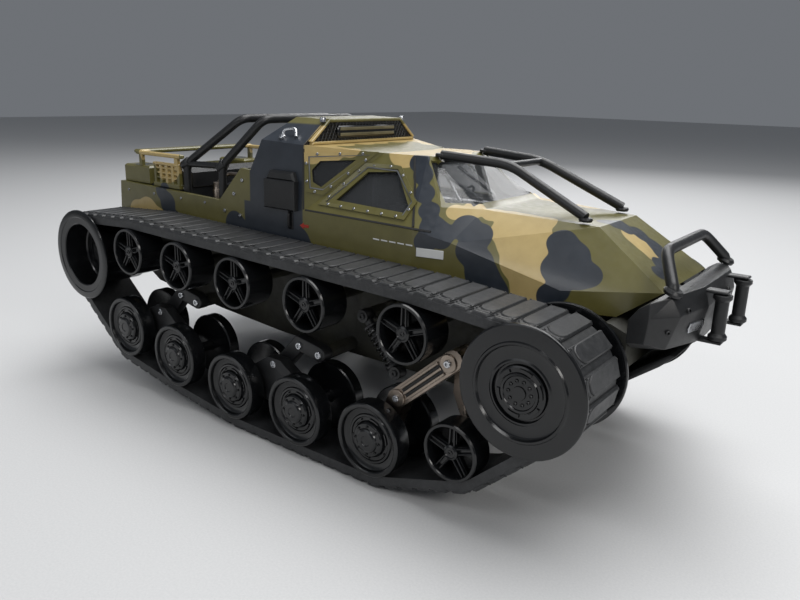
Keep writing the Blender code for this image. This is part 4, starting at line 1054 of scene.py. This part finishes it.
def roof_lamp():
    """A tapered mesh panel in a painted frame, with a lamp bar behind the mesh."""
    face = Matrix(((0.0, 0.0, 1.0), (1.0, 0.0, 0.0), (0.0, 1.0, 0.0))).to_4x4()
    panel, frame_bars, wires = Shape(), Shape(), Shape()
    corners = [(-0.0476, 0.1674), (0.0476, 0.1674), (0.0334, 0.1786), (-0.0334, 0.1786)]
    panel.prism(corners, 0.0010, 0.0042, 0.0002, face)
    for k in range(4):
        a, b = Vector(corners[k]), Vector(corners[(k + 1) % 4])
        way = (b - a).normalized()
        out = Vector((way.y, -way.x))
        line = [a - out * 0.0003, b - out * 0.0003, b + out * 0.0014 + way * 0.0007, a + out * 0.0014 - way * 0.0007]
        frame_bars.prism([tuple(p) for p in line], 0.0020, 0.0054, 0.0004, face)
    for k in range(1, 7):
        z = 0.1674 + 0.0016 * k
        half = 0.0476 - (z - 0.1674) * 1.268
        wires.tube([(0.0046, -half, z), (0.0046, half, z)], 0.00026, 6)
    for k in range(-16, 17):
        for lean in (-1.0, 1.0):
            low, high = k * 0.0029, k * 0.0029 + lean * 0.0056
            share = 1.0
            for y in (low, high):
                if abs(y) > 0.0336:
                    share = min(share, 0.93 - (abs(y) - 0.0336) / 0.0142)
            if share > 0.15 and abs(low) < 0.0470:
                wires.tube([(0.0046, low, 0.1675), (0.0046, low + (high - low) * share, 0.1675 + 0.0110 * share)],
                           0.00026, 6)
    panel.piece("roof_light_grille_back", BLACK, "root", "black_plastic", "roof_light_grille")
    frame_bars.piece("roof_light_grille_frame", CAMO, "root", "camo_paint")
    wires.piece("roof_light_grille_mesh", BLACK, "root", "black_plastic")
    lamps, lens = Shape(), Shape()
    lamps.prism([(-0.0262, 0.1694), (0.0262, 0.1694), (0.0274, 0.1706), (0.0274, 0.1750), (0.0262, 0.1762), (-0.0262,
        0.1762),
                 (-0.0274, 0.1750), (-0.0274, 0.1706)], 0.0030, 0.0060, 0.0006, face)
    for z in (0.1703, 0.1735):
        lens.prism([(-0.0255, z), (0.0255, z), (0.0255, z + 0.0018), (-0.0255, z + 0.0018)], 0.0056, 0.0064, 0.0003,
                   face)
    lamps.piece("roof_lamp_case", GLOSS, "root", "gloss_black")
    lens.piece("roof_lamp_lens", SMOKE, "root", "clear_plastic")


def cabin():
    seats, trim = Shape(), Shape()
    for side in SIDES.values():
        y = side * 0.0150
        seats.bar((0.0340, y - 0.0095, 0.1270), (0.0560, y + 0.0095, 0.1310), 0.0015)
        seats.bar((0.0300, y - 0.0095, 0.1290), (0.0345, y + 0.0095, 0.1500), 0.0018)
        for shift in (-0.0088, 0.0088):
            seats.bar((0.0330, y + shift - 0.0018, 0.1300), (0.0540, y + shift + 0.0018, 0.1335), 0.0010)
        trim.tube([(0.0290, y - 0.0060, 0.1490), (0.0290, y - 0.0060, 0.1540), (0.0290, y + 0.0060, 0.1540), (0.0290,
            y + 0.0060, 0.1490)],
                  0.0010, 10, 0.0018)
    seats.piece("cab_seats", SEAT, "root", "black_plastic")
    trim.bar((0.0780, -0.0260, 0.1290), (0.0870, 0.0260, 0.1370), 0.0015)
    trim.tube([(0.0765, 0.0150, 0.1365), (0.0700, 0.0150, 0.1390)], 0.0009, 10)
    points = []
    place = aim((0.0700, 0.0150, 0.1390), (-1.0, 0.0, 0.55))
    for k in range(25):
        turn = 2.0 * math.pi * k / 24
        points.append(place @ Vector((0.0056 * math.cos(turn), 0.0056 * math.sin(turn), 0.0)))
    trim.tube(points, 0.0008, 8)
    trim.piece("cab_dash", SEAT, "root", "black_plastic")
    bars = Shape()
    for a, b in (((0.0680, -0.0160, 0.1560), (0.0930, -0.0050, 0.1400)), ((0.0760, -0.0210, 0.1410), (0.0950, -0.0020,
        0.1385)),
                 ((0.0700, 0.0040, 0.1560), (0.0860, 0.0190, 0.1400)), ((0.0700, -0.0100, 0.1540), (0.0880, -0.0200,
                     0.1400))):
        bars.tube([a, b], 0.0009, 10)
    bars.piece("cab_bars", STEEL, "root", "damper_steel")


def deck():
    """Open load bed: a mechanism with fins, side rails, perforated panels and a cross wing at the rear."""
    bed, rails, painted = Shape(), Shape(), Shape()
    bed.bar((-0.1120, -0.0400, 0.1150), (-0.0520, 0.0400, 0.1180), 0.0008)
    for k in range(7):
        x = -0.1080 + 0.0085 * k
        bed.bar((x, -0.0380, 0.1175), (x + 0.0045, 0.0380, 0.1196), 0.0006)
    bed.bar((-0.1050, -0.0210, 0.1190), (-0.0640, 0.0210, 0.1330), 0.0020)
    for k in range(8):
        x = -0.1020 + 0.0047 * k
        bed.bar((x, -0.0185, 0.1325), (x + 0.0022, 0.0185, 0.1352), 0.0005)
    bed.bar((-0.1755, -0.0500, 0.1150), (-0.1170, 0.0500, 0.1300), 0.0010)
    for k in range(9):
        x = -0.1450 + 0.0034 * k
        bed.bar((x, -0.0400, 0.1295), (x + 0.0016, 0.0400, 0.1400), 0.0004)
    bed.piece("bed_mechanism", BLACK, "root", "black_plastic", "engine_cover")
    for side in SIDES.values():
        for x in (-0.1000, -0.0680):
            rails.lathe([(0.0, 0.1180), (0.0042, 0.1180), (0.0042, 0.1290), (0.0036, 0.1300), (0.0036, 0.1340), (0.0,
                0.1345)],
                        24, Matrix.Translation((x, side * 0.0310, 0.0)))
        rails.tube([(-0.1000, side * 0.0310, 0.1340), (-0.0960, side * 0.0260, 0.1400), (-0.0720, side * 0.0260,
            0.1400),
                    (-0.0680, side * 0.0310, 0.1340)], 0.0013, 12, 0.004)
        low, high = sorted((side * 0.0340, side * 0.0512))
        painted.bar((-0.1785, low, 0.1290), (-0.1490, high, 0.1420), 0.0012)
        low, high = sorted((side * 0.0478, side * 0.0512))
        painted.bar((-0.1640, low, 0.1495), (-0.1135, high, 0.1522), 0.0006)
        painted.bar((-0.1445, low, 0.1440), (-0.1160, high, 0.1458), 0.0004)
        painted.bar((-0.1445, low, 0.1290), (-0.1160, high, 0.1322), 0.0004)
        for k in range(5):
            x = -0.1440 + 0.0064 * k
            painted.bar((x, low + 0.0004, 0.1318), (x + 0.0024, high - 0.0004, 0.1446), 0.0003)
        for z in (0.1350, 0.1382, 0.1414):
            painted.bar((-0.1440, low + 0.0006, z), (-0.1164, high - 0.0006, z + 0.0012), 0.0003)
        for x in (-0.1610, -0.1210):
            painted.bar((x, low + 0.0005, 0.1415), (x + 0.0034, high - 0.0005, 0.1500), 0.0005)
    painted.bar((-0.1665, -0.0505, 0.1500), (-0.1575, 0.0505, 0.1528), 0.0008)
    painted.bar((-0.1690, -0.0340, 0.1290), (-0.1640, 0.0340, 0.1405), 0.0008)
    rails.piece("bed_fittings", BRONZE, "root", "bronze_metal")
    painted.piece("bed_rails", CAMO, "root", "camo_paint")


cage()
guard()
bull_bar()
front_details()
roof_lamp()
cabin()
deck()

# ---------------------------------------------------------------- floor, light and camera
floor_mesh = bpy.data.meshes.new("floor")
floor_mesh.from_pydata([(-4, -4, 0), (4, -4, 0), (4, 6, 0), (-4, 6, 0)], [], [(0, 1, 2, 3)])
floor = bpy.data.objects.new("floor", floor_mesh)
bpy.context.scene.collection.objects.link(floor)
carpet = Shader("floor_look")
carpet.set("Base Color", carpet.mix(carpet.noise(900.0, 2.0).outputs["Fac"], rgb(0.50, 0.505, 0.51), rgb(0.60, 0.60,
    0.60)))
carpet.set("Roughness", 0.85)
floor_mesh.materials.append(carpet.material)
floor.location.z = CAD_BOX[0][2] - 0.0003


def lamp(name, position, target, size, power, tint=(1.0, 1.0, 1.0)):
    data = bpy.data.lights.new(name, "AREA")
    data.shape = "RECTANGLE"
    data.size, data.size_y = size
    data.energy = power
    data.color = tint
    made = bpy.data.objects.new(name, data)
    bpy.context.scene.collection.objects.link(made)
    made.location = position
    made.rotation_euler = (Vector(target) - Vector(position)).to_track_quat("-Z", "Y").to_euler()


lamp("ceiling", (0.15, 0.25, 1.3), (0.0, 0.0, 0.05), (1.5, 1.0), 23.0)
lamp("front_strip", (1.1, -0.5, 0.75), (0.1, 0.0, 0.08), (0.6, 0.30), 4.5, (1.0, 0.98, 0.95))
lamp("near_fill", (-0.5, -1.2, 0.65), (0.0, 0.0, 0.08), (0.8, 0.5), 1.3, (0.94, 0.97, 1.0))
lamp("near_strip", (0.05, -1.0, 0.9), (0.0, 0.0, 0.06), (0.9, 0.05), 1.6)
lamp("far_rim", (-0.5, 1.3, 0.8), (0.0, 0.0, 0.1), (1.2, 0.4), 7.0)

world = bpy.data.worlds.new("soft_grey")
world.use_nodes = True
world.node_tree.nodes["Background"].inputs[0].default_value = (0.62, 0.66, 0.72, 1.0)
world.node_tree.nodes["Background"].inputs[1].default_value = 0.25
bpy.context.scene.world = world
bpy.context.scene.view_settings.view_transform = "Standard"

AZIMUTH, ELEVATION, ROLL = math.radians(37.0826), math.radians(16.0869), math.radians(1.4435)
DISTANCE, AIM, FOCAL_PX = 0.45846, Vector((0.03365 + FX, 0.0, 0.07)), 727.08
back = Vector((math.sin(AZIMUTH) * math.cos(ELEVATION), -math.cos(AZIMUTH) * math.cos(ELEVATION), math.sin(ELEVATION)))
level = (-back).cross(Vector((0.0, 0.0, 1.0))).normalized()
upright = level.cross(-back)
right = math.cos(ROLL) * level + math.sin(ROLL) * upright
above = math.cos(ROLL) * upright - math.sin(ROLL) * level
camera = bpy.data.objects.new("camera", bpy.data.cameras.new("camera"))
bpy.context.scene.collection.objects.link(camera)
placing = Matrix((right, above, back)).transposed().to_4x4()
placing.translation = AIM + back * DISTANCE
camera.matrix_world = placing
camera.data.sensor_width = 36.0
camera.data.lens = FOCAL_PX / 800.0 * 36.0
camera.data.clip_start = 0.01
bpy.context.scene.camera = camera
